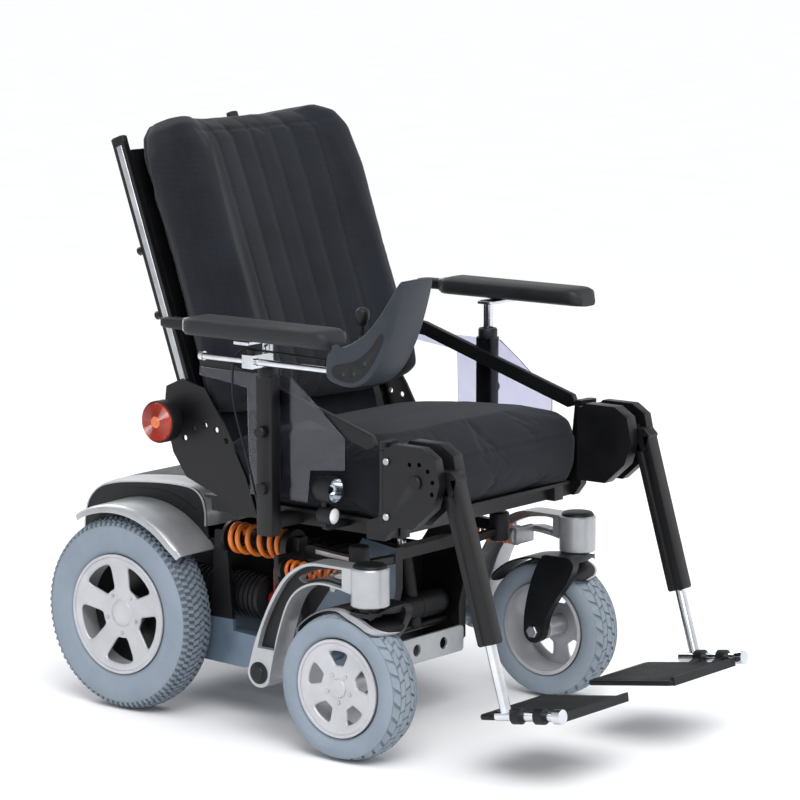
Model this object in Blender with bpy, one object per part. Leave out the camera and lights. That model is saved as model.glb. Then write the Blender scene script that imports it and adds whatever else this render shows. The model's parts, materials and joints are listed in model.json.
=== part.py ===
"""Power wheelchair, built as separate jointed pieces.

Units are metres.  +Z is up, the chair faces -Y, and the user's left is +X.
Every outline below is drawn in the base frame: the drive axle is at Y = 0 and the floor at Z = 0.
"""
import math

import bmesh
import bpy
from mathutils import Matrix, Vector

# ---------------------------------------------------------------- driving dimensions
GAP = 0.0003                # space left between pieces that touch
CENTRE_Y = 0.4058           # moves the drive axle back, so the object's box is centred on the origin

DRIVE_RADIUS = 0.178        # 14 inch drive wheel
DRIVE_WIDTH = 0.076
DRIVE_CENTRE_X = 0.258
DRIVE_RIM = 0.111

CASTOR_RADIUS = 0.130       # 10 inch castor
CASTOR_WIDTH = 0.080
CASTOR_CENTRE_X = 0.298
CASTOR_RIM = 0.087
CASTOR_AXLE_Y = -0.5515
STEM_X = 0.304              # the swivel axis, ahead of the axle by the trail
STEM_Y = -0.602

DRIVE_PIVOT = (-0.285, 0.130)      # (y, z) of the drive arm's hinge
CASTOR_PIVOT = (-0.373, 0.131)     # (y, z) of the castor arm's hinge
DRIVE_SPRING_X = 0.200
DRIVE_SPRING_Z = 0.333
CASTOR_SPRING_X = 0.250
CASTOR_SPRING_Z = 0.303

TRAY_X = 0.112              # half width of the battery tray
SEAT_PIVOT = (-0.210, 0.372)
ACTUATOR_BASE = (-0.4578, 0.1672)  # the push rod runs along the chord of the seat's lifting arc
ACTUATOR_TOP = (-0.4216, 0.3720)
SEAT_PIN = (-0.4200, 0.3720)       # the pin that the rod carries, loose in its eye

RAIL_X = 0.225              # middle of each seat rail
SEAT_X = 0.260              # half width of the cushions
PLATE_X = 0.262             # inner face of the recline plates
CANE_X = 0.2545             # middle of each back cane
RECLINE = (-0.198, 0.455)
BACK_LEAN = math.radians(20.0)

SOCKET_X = 0.3153
SOCKET_Y = -0.385
POST_RADIUS = 0.0095
PAD_X = 0.362
PAD_Z = 0.7238

JOY_X = -0.3570
JOY_TUBE_Z = 0.686
JOY_GIMBAL = (JOY_X, -0.629, 0.7385)

SWING_X = 0.300
SWING_Y = -0.632
KNEE = (-0.712, 0.505)
HANGER_X = 0.283
HANGER_TOP = (-0.763, 0.512)
HANGER_END = (-0.844, 0.240)
FOOT_BAR_X = 0.275
FOOT_BAR_REAR = (-0.852, 0.118)
FOOT_BAR_FRONT = (-0.978, 0.136)

SIDES = {"right": -1, "left": 1}


# ---------------------------------------------------------------- materials
def make_material(name, colour, roughness, metallic=0.0, alpha=1.0):
    """Principled material from a linear colour."""
    material = bpy.data.materials.new(name)
    material.use_nodes = True
    shader = material.node_tree.nodes["Principled BSDF"]
    shader.inputs["Base Color"].default_value = (*colour, 1.0)
    shader.inputs["Roughness"].default_value = roughness
    shader.inputs["Metallic"].default_value = metallic
    shader.inputs["Alpha"].default_value = alpha
    material.diffuse_color = (*colour, alpha)
    return material


FINISHES = {
    "frame_paint": ((0.33, 0.38, 0.44), 0.42, 0.6),
    "silver_paint": ((0.56, 0.57, 0.58), 0.35, 0.7),
    "black_steel": ((0.012, 0.012, 0.014), 0.40, 0.3),
    "black_plastic": ((0.014, 0.014, 0.016), 0.55, 0.0),
    "battery_case": ((0.035, 0.036, 0.040), 0.60, 0.0),
    "tyre_rubber": ((0.30, 0.34, 0.38), 0.78, 0.0),
    "rim_silver": ((0.62, 0.63, 0.65), 0.38, 0.6),
    "spring_orange": ((0.72, 0.18, 0.03), 0.38, 0.1),
    "chrome": ((0.82, 0.83, 0.85), 0.12, 1.0),
    "seat_fabric": ((0.022, 0.024, 0.028), 0.92, 0.0),
    "pad_foam": ((0.020, 0.021, 0.024), 0.70, 0.0),
    "lamp_glass": ((0.80, 0.82, 0.84), 0.10, 0.2),
    "lamp_red": ((0.60, 0.06, 0.02), 0.22, 0.0),
    "guard_plastic": ((0.40, 0.40, 0.58), 0.12, 0.0, 0.45),
    "handset_grey": ((0.10, 0.12, 0.15), 0.50, 0.0),
    "lever_red": ((0.45, 0.03, 0.02), 0.45, 0.0),
}


# ---------------------------------------------------------------- shapes
def close_mesh(bm):
    """Turn a closed bmesh into a mesh whose faces all point outwards."""
    bmesh.ops.recalc_face_normals(bm, faces=bm.faces)
    mesh = bpy.data.meshes.new("shape")
    bm.to_mesh(mesh)
    bm.free()
    return mesh


PLACE = {
    "X": lambda a, b, t: (t, a, b),
    "Y": lambda a, b, t: (a, t, b),
    "Z": lambda a, b, t: (a, b, t),
}


def prism(axis, outline, start, end):
    """Closed outline, drawn in the plane across an axis, extruded from start to end along it."""
    bm = bmesh.new()
    first = [bm.verts.new(PLACE[axis](a, b, start)) for a, b in outline]
    second = [bm.verts.new(PLACE[axis](a, b, end)) for a, b in outline]
    bm.faces.new(first)
    bm.faces.new(second)
    for i in range(len(outline)):
        bm.faces.new((first[i - 1], first[i], second[i], second[i - 1]))
    return close_mesh(bm)


def block(x, y, z):
    """Box from three (low, high) pairs."""
    return prism("X", [(y[0], z[0]), (y[1], z[0]), (y[1], z[1]), (y[0], z[1])], x[0], x[1])


def arc(centre, radius, start, end, steps):
    """Points on an arc between two angles, in degrees."""
    angles = [math.radians(start + (end - start) * i / steps) for i in range(steps + 1)]
    return [(centre[0] + radius * math.cos(a), centre[1] + radius * math.sin(a)) for a in angles]


def disc(axis, centre, radius, start, end, sides=16):
    """Cylinder along an axis; centre is its place in the plane across that axis."""
    return prism(axis, arc(centre, radius, 0, 360 - 360 / sides, sides - 1), start, end)


def slab(size, radius, steps=3):
    """Rectangle outline ((low a, high a), (low b, high b)) with round corners."""
    (a0, a1), (b0, b1) = size
    points = arc((a1 - radius, b1 - radius), radius, 0, 90, steps)
    points += arc((a0 + radius, b1 - radius), radius, 90, 180, steps)
    points += arc((a0 + radius, b0 + radius), radius, 180, 270, steps)
    points += arc((a1 - radius, b0 + radius), radius, 270, 360, steps)
    return points


def lens(first, radius_first, second, radius_second, steps=8):
    """Outline of a link: two round ends joined by straight sides."""
    run = Vector(second) - Vector(first)
    heading = math.degrees(math.atan2(run.y, run.x))
    points = arc(first, radius_first, heading + 90, heading + 270, steps)
    points += arc(second, radius_second, heading - 90, heading + 90, steps)
    return points


def loft(rings):
    """Solid skin over rings of the same number of points, closed at both ends."""
    bm = bmesh.new()
    rows = [[bm.verts.new(point) for point in ring] for ring in rings]
    bm.faces.new(rows[0])
    bm.faces.new(rows[-1])
    for low, high in zip(rows, rows[1:]):
        for i in range(len(low)):
            bm.faces.new((low[i - 1], low[i], high[i], high[i - 1]))
    return close_mesh(bm)


def rod(points, radius, sides=10):
    """Round bar that follows a list of points."""
    path = [Vector(p) for p in points]
    across = None
    rings = []
    for i, here in enumerate(path):
        ahead = (path[min(i + 1, len(path) - 1)] - path[max(i - 1, 0)]).normalized()
        if across is None:
            across = ahead.orthogonal()
        across = (across - ahead * across.dot(ahead)).normalized()
        side = ahead.cross(across)
        turn = [math.tau * k / sides for k in range(sides)]
        rings.append([here + radius * (across * math.cos(t) + side * math.sin(t)) for t in turn])
    return loft(rings)


def turned(profile, centre, sides):
    """Ring turned about an X axis at centre (y, z); profile is a closed list of (x, radius)."""
    bm = bmesh.new()
    rows = []
    for i in range(sides):
        angle = math.tau * i / sides - math.pi / 2
        y_way = math.cos(angle)
        z_way = math.sin(angle)
        row = [bm.verts.new((x, centre[0] + r * y_way, centre[1] + r * z_way)) for x, r in profile]
        rows.append(row)
    for i in range(sides):
        for j in range(len(profile)):
            bm.faces.new((rows[i - 1][j - 1], rows[i - 1][j], rows[i][j], rows[i][j - 1]))
    return close_mesh(bm)


def coil(centre, radius, wire, start, end, turns, steps=8, sides=4):
    """Spring along Y between start and end; centre is its (x, z)."""
    count = turns * steps
    points = []
    for i in range(count + 1):
        angle = math.tau * i / steps
        along = start + (end - start) * i / count
        points.append((centre[0] + radius * math.cos(angle), along, centre[1] + radius * math.sin(angle)))
    return rod(points, wire, sides)


def lean(origin, u, v, x):
    """Point u up the leaning backrest and v in front of it."""
    y = origin[0] + u * math.sin(BACK_LEAN) - v * math.cos(BACK_LEAN)
    z = origin[1] + u * math.cos(BACK_LEAN) + v * math.sin(BACK_LEAN)
    return (x, y, z)


def mix(first, second, t):
    """Point on the line from first to second."""
    return tuple(a + (b - a) * t for a, b in zip(first, second))


# ---------------------------------------------------------------- bodies and parts
BODIES = {}


def add_body(name, parent, point):
    """Empty on a joint's axis, in the base frame, that carries the pieces which move with it."""
    empty = bpy.data.objects.new("axis_" + name, None)
    empty.empty_display_size = 0.03
    bpy.context.scene.collection.objects.link(empty)
    if parent is None:
        empty.location = (0.0, CENTRE_Y, 0.0)
    else:
        empty.parent = BODIES[parent][0]
        empty.location = Vector(point) - Vector(BODIES[parent][1])
    BODIES[name] = (empty, point)


def helper(mesh):
    """Temporary object for a Boolean."""
    obj = bpy.data.objects.new("helper", mesh)
    bpy.context.scene.collection.objects.link(obj)
    return obj


def part(name, body, finish, shapes, cuts=()):
    """One piece: shapes joined, cuts taken away, origin on its body's axis, parented to that body."""
    obj = helper(shapes[0])
    tools = []
    for mesh, operation in [(m, "UNION") for m in shapes[1:]] + [(m, "DIFFERENCE") for m in cuts]:
        tool = helper(mesh)
        tools.append(tool)
        modifier = obj.modifiers.new(operation, "BOOLEAN")
        modifier.operation = operation
        modifier.solver = "EXACT"
        modifier.object = tool
    if tools:
        graph = bpy.context.evaluated_depsgraph_get()
        joined = bpy.data.meshes.new_from_object(obj.evaluated_get(graph))
        obj.modifiers.clear()
        obj.data = joined
    for tool in tools:
        bpy.data.objects.remove(tool, do_unlink=True)
    empty, point = BODIES[body]
    mesh = obj.data
    mesh.transform(Matrix.Translation(-Vector(point)))
    mesh.materials.clear()
    mesh.materials.append(finish)
    mesh.shade_smooth()
    mesh.set_sharp_from_angle(angle=math.radians(32.0))
    obj.name = name
    mesh.name = name
    obj.parent = empty
    return obj


# ---------------------------------------------------------------- base
def build_chassis(finish):
    """Battery tray with pivot tubes, spring towers, nose plates and the seat's pedestal."""
    shapes = [block((-TRAY_X, TRAY_X), (-0.405, 0.105), (0.090, 0.300))]
    cuts = [block((-TRAY_X + 0.004, TRAY_X - 0.004), (-0.401, 0.101), (0.094, 0.310))]
    for side in SIDES.values():
        nose = [(-0.398, 0.110), (-0.470, 0.110), (-0.4900, 0.135), (-0.4900, 0.200),
                (-0.505, 0.260), (-0.505, 0.335), (-0.430, 0.345), (-0.398, 0.300)]
        shapes.append(prism("X", nose, side * 0.092, side * TRAY_X))
        shapes.append(disc("X", CASTOR_PIVOT, 0.016, side * 0.110, side * 0.2815, 14))
        shapes.append(disc("X", CASTOR_PIVOT, 0.009, side * 0.275, side * 0.331, 12))
        shapes.append(disc("X", DRIVE_PIVOT, 0.015, side * 0.110, side * 0.1850, 14))
        shapes.append(disc("X", DRIVE_PIVOT, 0.009, side * 0.180, side * 0.218, 12))
        tower = [(-0.383, 0.131), (-0.363, 0.131), (-0.350, 0.250), (-0.350, 0.352),
                 (-0.366, 0.352), (-0.366, 0.250)]
        shapes.append(prism("X", tower, side * 0.188, side * 0.212))
        shapes.append(block((side * 0.200, side * 0.268), (-0.366, -0.356), (0.278, 0.328)))
        seat = (side * DRIVE_SPRING_X, DRIVE_SPRING_Z)
        shapes.append(disc("Y", seat, 0.031, -0.3505, -0.337, 14))
        shapes.append(disc("Y", seat, 0.008, -0.340, -0.232, 12))
        castor_seat = (side * CASTOR_SPRING_X, CASTOR_SPRING_Z)
        shapes.append(disc("Y", castor_seat, 0.021, -0.372, -0.362, 12))
        upright = [(-0.250, 0.290), (-0.170, 0.290), (-0.190, 0.372), (-0.202, 0.386), (-0.218, 0.386),
                   (-0.230, 0.372)]
        shapes.append(prism("X", upright, side * 0.106, side * 0.116))
        shapes.append(disc("X", SEAT_PIVOT, 0.008, side * 0.112, side * 0.131, 12))
    shapes.append(disc("X", ACTUATOR_BASE, 0.007, -0.100, 0.100, 12))
    shapes.append(block((-0.100, 0.100), (-0.505, -0.478), (0.312, 0.332)))
    shapes.append(block((-0.1105, 0.1105), (-0.218, -0.202), (0.292, 0.308)))
    part("chassis_frame", "base", finish["frame_paint"], shapes, cuts)


def build_power(finish):
    """Two batteries and the power module in the tray, and the drilled plate on its nose."""
    inner = TRAY_X - 0.007
    for name, low, high in (("battery_front", -0.395, -0.212), ("battery_rear", -0.204, -0.021)):
        shapes = [block((-inner, inner), (low, high), (0.094 + GAP, 0.276))]
        for side in SIDES.values():
            shapes.append(disc("Z", (side * 0.070, low + 0.030), 0.009, 0.275, 0.285, 12))
        part(name, "base", finish["battery_case"], shapes)
    ribs = [block((-0.078 + i * 0.020, -0.070 + i * 0.020), (0.000, 0.080), (0.2500, 0.256))
            for i in range(8)]
    module = [block((-0.092, 0.092), (-0.010, 0.092), (0.094 + GAP, 0.251))]
    part("power_module", "base", finish["black_plastic"], module + ribs)
    outline = slab(((-0.098, 0.098), (0.112, 0.160)), 0.008)
    holes = [disc("Y", (side * 0.039, 0.136), 0.011, -0.52, -0.47, 14) for side in SIDES.values()]
    plate = [prism("Y", outline, -0.4965, -0.4900 - GAP)]
    part("front_plate", "base", finish["silver_paint"], plate, holes)


def build_shroud(finish):
    """Rear cover: a curved deck with side walls and a mudguard over each drive wheel."""
    axle = (0.0, DRIVE_RADIUS)
    inner_radius = 0.1980
    outer_radius = 0.2025
    top = [(0.172, 0.296), (0.168, 0.345), (0.148, 0.382), (0.100, 0.403), (0.030, 0.414),
           (-0.060, 0.420), (-0.112, 0.418), (-0.136, 0.404), (-0.149, 0.374), (-0.149, 0.345)]
    under = [(-0.145, 0.345), (-0.145, 0.372), (-0.133, 0.400), (-0.111, 0.414), (-0.060, 0.416),
             (0.030, 0.410), (0.099, 0.399), (0.146, 0.378), (0.164, 0.343), (0.168, 0.296)]
    shapes = [prism("X", top + under, -0.205, 0.205)]
    wheel_arch = arc(axle, inner_radius, 139, 36, 12)
    for side in SIDES.values():
        shapes.append(prism("X", top + wheel_arch, side * 0.201, side * 0.205))
        guard = arc(axle, inner_radius, 62, 140, 12) + arc(axle, outer_radius, 140, 62, 12)
        shapes.append(prism("X", guard, side * 0.2015, side * 0.300))
    part("base_shroud", "base", finish["silver_paint"], shapes)


def build_drive(side_name, side, finish):
    """Swing arm, motor with gearbox, brake lever, spring, tyre and rim of one drive wheel."""
    body = "drive_arm_" + side_name
    bar = [(-0.305, 0.112), (-0.240, 0.100), (-0.110, 0.104), (-0.063, 0.124), (-0.063, 0.172),
           (-0.300, 0.160)]
    bar_shape = prism("X", lens(DRIVE_PIVOT, 0.026, (-0.090, 0.140), 0.030), side * 0.186, side * 0.2165)
    lever = [(-0.218, 0.130), (-0.150, 0.130), (-0.166, 0.250), (-0.172, 0.345), (-0.200, 0.345),
             (-0.206, 0.250)]
    shapes = [
        prism("X", bar, side * 0.186, side * 0.2165),
        bar_shape,
        prism("X", lever, side * 0.2080, side * 0.2165),
        disc("X", (-0.186, DRIVE_SPRING_Z), 0.012, side * 0.190, side * 0.2165, 12),
        disc("Y", (side * DRIVE_SPRING_X, DRIVE_SPRING_Z), 0.030, -0.2040, -0.1970, 14),
    ]
    bore = disc("X", DRIVE_PIVOT, 0.0095, side * 0.15, side * 0.25, 12)
    front_bar = block((side * 0.18, side * 0.22), (-0.0625, 0.0), (0.08, 0.24))
    part("drive_arm_" + side_name, body, finish["frame_paint"], shapes, [bore, front_bar])

    motor_x = side * 0.163
    gearbox = slab(((-0.0622, 0.056), (0.122, 0.236)), 0.018)
    shapes = [
        prism("X", gearbox, side * 0.150, side * 0.2060),
        disc("Y", (motor_x, 0.222), 0.042, -0.2600, -0.030, 18),
        disc("Y", (motor_x, 0.222), 0.030, -0.2620, -0.250, 12),
        disc("X", (0.0, DRIVE_RADIUS), 0.034, side * 0.200, side * 0.2160, 18),
        disc("X", (0.0, DRIVE_RADIUS), 0.012, side * 0.210, side * 0.284, 14),
    ]
    part("drive_motor_" + side_name, body, finish["black_plastic"], shapes)

    handle = slab(((motor_x - 0.006, motor_x + 0.006), (0.210, 0.280)), 0.0055)
    shapes = [
        disc("Y", (motor_x, 0.222), 0.013, -0.2740, -0.2620 - GAP, 12),
        prism("Y", handle, -0.2740, -0.2690),
    ]
    part("brake_lever_" + side_name, "brake_lever_" + side_name, finish["lever_red"], shapes)

    spring = coil((side * DRIVE_SPRING_X, DRIVE_SPRING_Z), 0.0245, 0.0045, -0.2088, -0.3322, 6)
    part("drive_spring_" + side_name, "base", finish["spring_orange"], [spring])

    half = DRIVE_WIDTH / 2
    tread = [(-0.80, 0.1114), (-1.0, 0.138), (-0.95, 0.161), (-0.66, 0.1750), (-0.22, DRIVE_RADIUS)]
    profile = tread + [(-x, r) for x, r in reversed(tread)]
    profile = [(side * DRIVE_CENTRE_X + x * half, r) for x, r in profile]
    tyre = turned(profile, (0.0, DRIVE_RADIUS), 36)
    wheel = "drive_wheel_" + side_name
    part("drive_tyre_" + side_name, wheel, finish["tyre_rubber"], [tyre])
    build_rim("drive_rim_" + side_name, wheel, finish["rim_silver"], (0.0, DRIVE_RADIUS),
              side, (0.2265, 0.2900), DRIVE_RIM - GAP, 0.029, 0.0125, 30)


def build_rim(name, body, finish, centre, side, reach, radius, hub, bore, sides):
    """Five-window wheel: barrel, dished face, hub and the bore for its axle."""
    inner, outer = reach
    barrel = [(inner, radius - 0.006), (outer, radius - 0.006), (outer, radius), (inner, radius)]
    shapes = [
        turned([(side * x, r) for x, r in barrel], centre, sides),
        disc("X", centre, radius - 0.003, side * (outer - 0.020), side * (outer - 0.006), sides),
        disc("X", centre, hub, side * inner, side * (outer - 0.001), 18),
    ]
    cuts = [disc("X", centre, bore, side * (inner - 0.01), side * (outer - 0.005), 14)]
    for k in range(5):
        middle = 90 + 72 * k
        window = arc(centre, radius * 0.82, middle - 22, middle + 22, 2)
        window += arc(centre, radius * 0.47, middle + 15, middle - 15, 1)
        cuts.append(prism("X", window, side * (outer - 0.03), side * (outer + 0.01)))
    part(name, body, finish, shapes, cuts)


def build_castor(side_name, side, finish):
    """Castor arm with its head, the one-legged fork with its mudguard, spring, tyre and rim."""
    arm_body = "castor_arm_" + side_name
    outer = [(-0.350, 0.140), (-0.372, 0.206), (-0.395, 0.254), (-0.425, 0.302), (-0.459, 0.330),
             (-0.493, 0.343), (-0.585, 0.343)]
    inner = [(-0.585, 0.296), (-0.560, 0.302), (-0.504, 0.307), (-0.470, 0.294), (-0.444, 0.273),
             (-0.433, 0.252), (-0.422, 0.222), (-0.412, 0.190), (-0.398, 0.125), (-0.373, 0.120)]
    shapes = [
        prism("X", outer + inner, side * 0.283, side * 0.330),
        disc("X", CASTOR_PIVOT, 0.027, side * 0.283, side * 0.330, 18),
        disc("Z", (side * STEM_X, STEM_Y), 0.034, 0.2775, 0.345, 20),
        disc("Z", (side * STEM_X, STEM_Y), 0.029, 0.340, 0.352, 18),
        block((side * 0.236, side * 0.290), (-0.512, -0.502), (0.289, 0.317)),
        disc("Y", (side * CASTOR_SPRING_X, CASTOR_SPRING_Z), 0.019, -0.506, -0.498, 12),
    ]
    window = [(-0.383, 0.190), (-0.398, 0.190), (-0.409, 0.228), (-0.421, 0.262), (-0.436, 0.287),
              (-0.464, 0.308), (-0.460, 0.316), (-0.434, 0.296), (-0.408, 0.258), (-0.390, 0.215)]
    cuts = [
        prism("X", window, side * 0.27, side * 0.34),
        disc("X", CASTOR_PIVOT, 0.0095, side * 0.27, side * 0.34, 12),
        disc("Z", (side * STEM_X, STEM_Y), 0.0125, 0.27, 0.335, 14),
    ]
    part("castor_arm_" + side_name, arm_body, finish["silver_paint"], shapes, cuts)

    spring = coil((side * CASTOR_SPRING_X, CASTOR_SPRING_Z), 0.0150, 0.0032, -0.3758, -0.4945, 7, 6)
    part("castor_spring_" + side_name, "base", finish["spring_orange"], [spring])

    fork_body = "castor_swivel_" + side_name
    axle = (CASTOR_AXLE_Y, CASTOR_RADIUS)
    leg = [(-0.632, 0.2765), (-0.640, 0.262), (-0.622, 0.225), (-0.590, 0.180), (-0.573, 0.130)]
    leg += arc(axle, 0.0215, 180, 360, 8)
    leg += [(-0.530, 0.160), (-0.540, 0.210), (-0.556, 0.250), (-0.572, 0.2765)]
    crown = slab(((-0.632, -0.572), (0.2595, 0.2765)), 0.004)
    guard = arc(axle, 0.1345, 34, 132, 12) + arc(axle, 0.1380, 132, 34, 12)
    shapes = [
        prism("X", leg, side * 0.236, side * 0.2545),
        prism("X", crown, side * 0.240, side * 0.330),
        prism("X", guard, side * 0.240, side * 0.336),
        disc("Z", (side * STEM_X, STEM_Y), 0.012, 0.262, 0.3345, 14),
        disc("X", axle, 0.008, side * 0.250, side * 0.326, 12),
    ]
    part("castor_fork_" + side_name, fork_body, finish["black_steel"], shapes)

    half = CASTOR_WIDTH / 2
    tread = [(-0.70, 0.0874), (-0.98, 0.106), (-0.80, 0.1225), (-0.35, CASTOR_RADIUS)]
    profile = tread + [(-x, r) for x, r in reversed(tread)]
    profile = [(side * CASTOR_CENTRE_X + x * half, r) for x, r in profile]
    wheel = "castor_wheel_" + side_name
    part("castor_tyre_" + side_name, wheel, finish["tyre_rubber"], [turned(profile, axle, 32)])
    build_rim("castor_rim_" + side_name, wheel, finish["rim_silver"], axle,
              side, (0.2640, 0.3320), CASTOR_RIM - GAP, 0.021, 0.0085, 28)


def build_actuator(finish):
    """Tilt actuator: body with its cross motor, and the push rod that carries the seat's front."""
    base = (0.0, *ACTUATOR_BASE)
    top = (0.0, *ACTUATOR_TOP)
    shapes = [
        rod([mix(base, top, 0.02), mix(base, top, 0.70)], 0.0165, 20),
        disc("X", ACTUATOR_BASE, 0.015, -0.011, 0.011, 14),
        disc("X", (-0.452, 0.203), 0.024, -0.030, 0.086, 18),
    ]
    cuts = [
        disc("X", ACTUATOR_BASE, 0.0075, -0.1, 0.1, 12),
        rod([mix(base, top, 0.30), mix(base, top, 0.80)], 0.0095, 16),
    ]
    part("tilt_actuator", "base", finish["black_plastic"], shapes, cuts)
    shapes = [
        rod([mix(base, top, 0.33), mix(base, top, 0.97)], 0.0090, 16),
        disc("X", ACTUATOR_TOP, 0.0125, -0.008, 0.008, 14),
    ]
    part("tilt_rod", "tilt_rod", finish["chrome"], shapes,
         [disc("X", ACTUATOR_TOP, 0.0072, -0.1, 0.1, 12)])


# ---------------------------------------------------------------- seat
def build_seat_frame(finish):
    """Rails, cross members, seat pan, recline plates and the ears that carry the legrests."""
    shapes = [
        block((-0.258, 0.258), (-0.618, -0.184), (0.411, 0.417)),
        block((-0.230, 0.230), (-0.600, -0.575), (0.386, 0.412)),
        block((-0.230, 0.230), (-0.236, -0.184), (0.388, 0.412)),
        block((-0.230, 0.230), (-0.432, -0.408), (0.390, 0.412)),
        disc("X", SEAT_PIN, 0.0048, -0.019, 0.019, 12),
    ]
    cuts = []
    plate = [(-0.318, 0.390), (-0.262, 0.390), (-0.240, 0.414), (-0.150, 0.446), (-0.119, 0.488),
             (-0.098, 0.560), (-0.104, 0.606), (-0.140, 0.622), (-0.196, 0.610), (-0.232, 0.560),
             (-0.290, 0.462)]
    for side in SIDES.values():
        shapes.append(block((side * (RAIL_X - 0.013), side * (RAIL_X + 0.013)), (-0.616, -0.184),
                            (0.385, 0.413)))
        lug = lens(SEAT_PIVOT, 0.018, (-0.210, 0.398), 0.022)
        shapes.append(prism("X", lug, side * 0.1167, side * 0.129))
        cuts.append(disc("X", SEAT_PIVOT, 0.0085, side * 0.11, side * 0.14, 12))
        clevis = lens(SEAT_PIN, 0.012, (-0.420, 0.396), 0.012)
        shapes.append(prism("X", clevis, side * 0.0095, side * 0.0175))
        shapes.append(prism("X", plate, side * PLATE_X, side * (PLATE_X + 0.005)))
        shapes.append(block((side * 0.230, side * (PLATE_X + 0.003)), (-0.310, -0.266), (0.3915, 0.409)))
        shapes.append(disc("X", RECLINE, 0.0080, side * 0.2475, side * (PLATE_X + 0.002), 12))
        for k in range(5):
            angle = math.radians(44 + 22 * k)
            hole = (RECLINE[0] + 0.088 * math.cos(angle) * 0.8, RECLINE[1] + 0.088 * math.sin(angle))
            cuts.append(disc("X", hole, 0.0055, side * 0.25, side * 0.28, 8))
        shapes.append(block((side * 0.230, side * (SOCKET_X - 0.013 - GAP)),
                            (SOCKET_Y - 0.014, SOCKET_Y + 0.014), (0.388, 0.409)))
        bracket = [(-0.580, 0.389), (-0.618, 0.389), (-0.634, 0.410), (-0.634, 0.565), (-0.620, 0.565),
                   (-0.606, 0.430), (-0.580, 0.420)]
        shapes.append(prism("X", bracket, side * 0.268, side * 0.286))
        shapes.append(block((side * 0.230, side * 0.275), (-0.612, -0.584), (0.389, 0.409)))
        for low in (0.424, 0.5512):
            ear = lens((side * 0.276, -0.629), 0.006, (side * SWING_X, SWING_Y), 0.0105)
            shapes.append(prism("Z", ear, low, low + 0.0138))
    part("seat_frame", "seat", finish["black_steel"], shapes, cuts)


def build_cushions(finish):
    """Plain closed solids that hold the room of the seat and back cushions."""
    outline = [(-0.226, 0.4175), (-0.222, 0.440), (-0.224, 0.500), (-0.240, 0.522), (-0.420, 0.541),
               (-0.600, 0.549), (-0.627, 0.536), (-0.641, 0.500), (-0.638, 0.450), (-0.624, 0.4175)]
    middle = (-0.43, 0.47)
    rings = []
    for x, shrink in ((-1.0, 0.86), (-0.97, 0.95), (-0.91, 1.0), (0.91, 1.0), (0.97, 0.95), (1.0, 0.86)):
        ring = []
        for y, z in outline:
            lift = max(z, 0.4175)
            ring.append((x * SEAT_X, middle[0] + (y - middle[0]) * (0.4 + 0.6 * shrink),
                         0.4175 + (lift - 0.4175) * shrink))
        rings.append(ring)
    part("seat_cushion", "seat", finish["seat_fabric"], [loft(rings)])

    section = [(-0.215, 0.0165), (0.215, 0.0165), (0.252, 0.030), (0.260, 0.070), (0.252, 0.118),
               (0.232, 0.137), (0.205, 0.138), (0.165, 0.118), (0.090, 0.104), (0.0, 0.100)]
    section += [(-x, v) for x, v in reversed(section[2:9])]
    rings = []
    for u, across, deep in ((0.100, 0.95, 0.80), (0.112, 1.0, 0.95), (0.150, 1.0, 1.0), (0.500, 0.985, 1.0),
                            (0.580, 0.955, 0.96), (0.615, 0.90, 0.86), (0.636, 0.80, 0.66)):
        rings.append([lean(RECLINE, u, 0.0165 + (v - 0.0165) * deep, x * across) for x, v in section])
    part("back_cushion", "backrest", finish["seat_fabric"], [loft(rings)])


def build_back_frame(finish):
    """Two canes with cross bars and the back shell between them."""
    shapes = []
    cuts = []
    for side in SIDES.values():
        rings = []
        for u in (-0.020, 0.622):
            corners = ((0.014, -0.006), (0.014, 0.006), (-0.014, 0.006), (-0.014, -0.006))
            rings.append([lean(RECLINE, u, v, side * CANE_X + dx) for v, dx in corners])
        shapes.append(loft(rings))
        cuts.append(disc("X", RECLINE, 0.0086, side * 0.24, side * 0.27, 12))
        for u in (0.300, 0.420):
            start = lean(RECLINE, u, -0.012, side * CANE_X)
            end = lean(RECLINE, u, -0.024, side * CANE_X)
            shapes.append(rod([start, end], 0.008, 10))
    for u in (0.150, 0.560):
        shapes.append(rod([lean(RECLINE, u, 0.0, -CANE_X), lean(RECLINE, u, 0.0, CANE_X)], 0.009, 12))
    shell = []
    for u in (0.110, 0.600):
        corners = ((0.006, -0.240), (0.006, 0.240), (0.0095, 0.240), (0.0095, -0.240))
        shell.append([lean(RECLINE, u, v, x) for v, x in corners])
    shapes.append(loft(shell))
    for u in (0.150, 0.560):
        rings = []
        for v in (0.002, 0.0080):
            corners = ((u - 0.012, -0.2), (u + 0.012, -0.2), (u + 0.012, 0.2), (u - 0.012, 0.2))
            rings.append([lean(RECLINE, uu, v, x) for uu, x in corners])
        shapes.append(loft(rings))
    part("back_frame", "backrest", finish["black_steel"], shapes, cuts)


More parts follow.
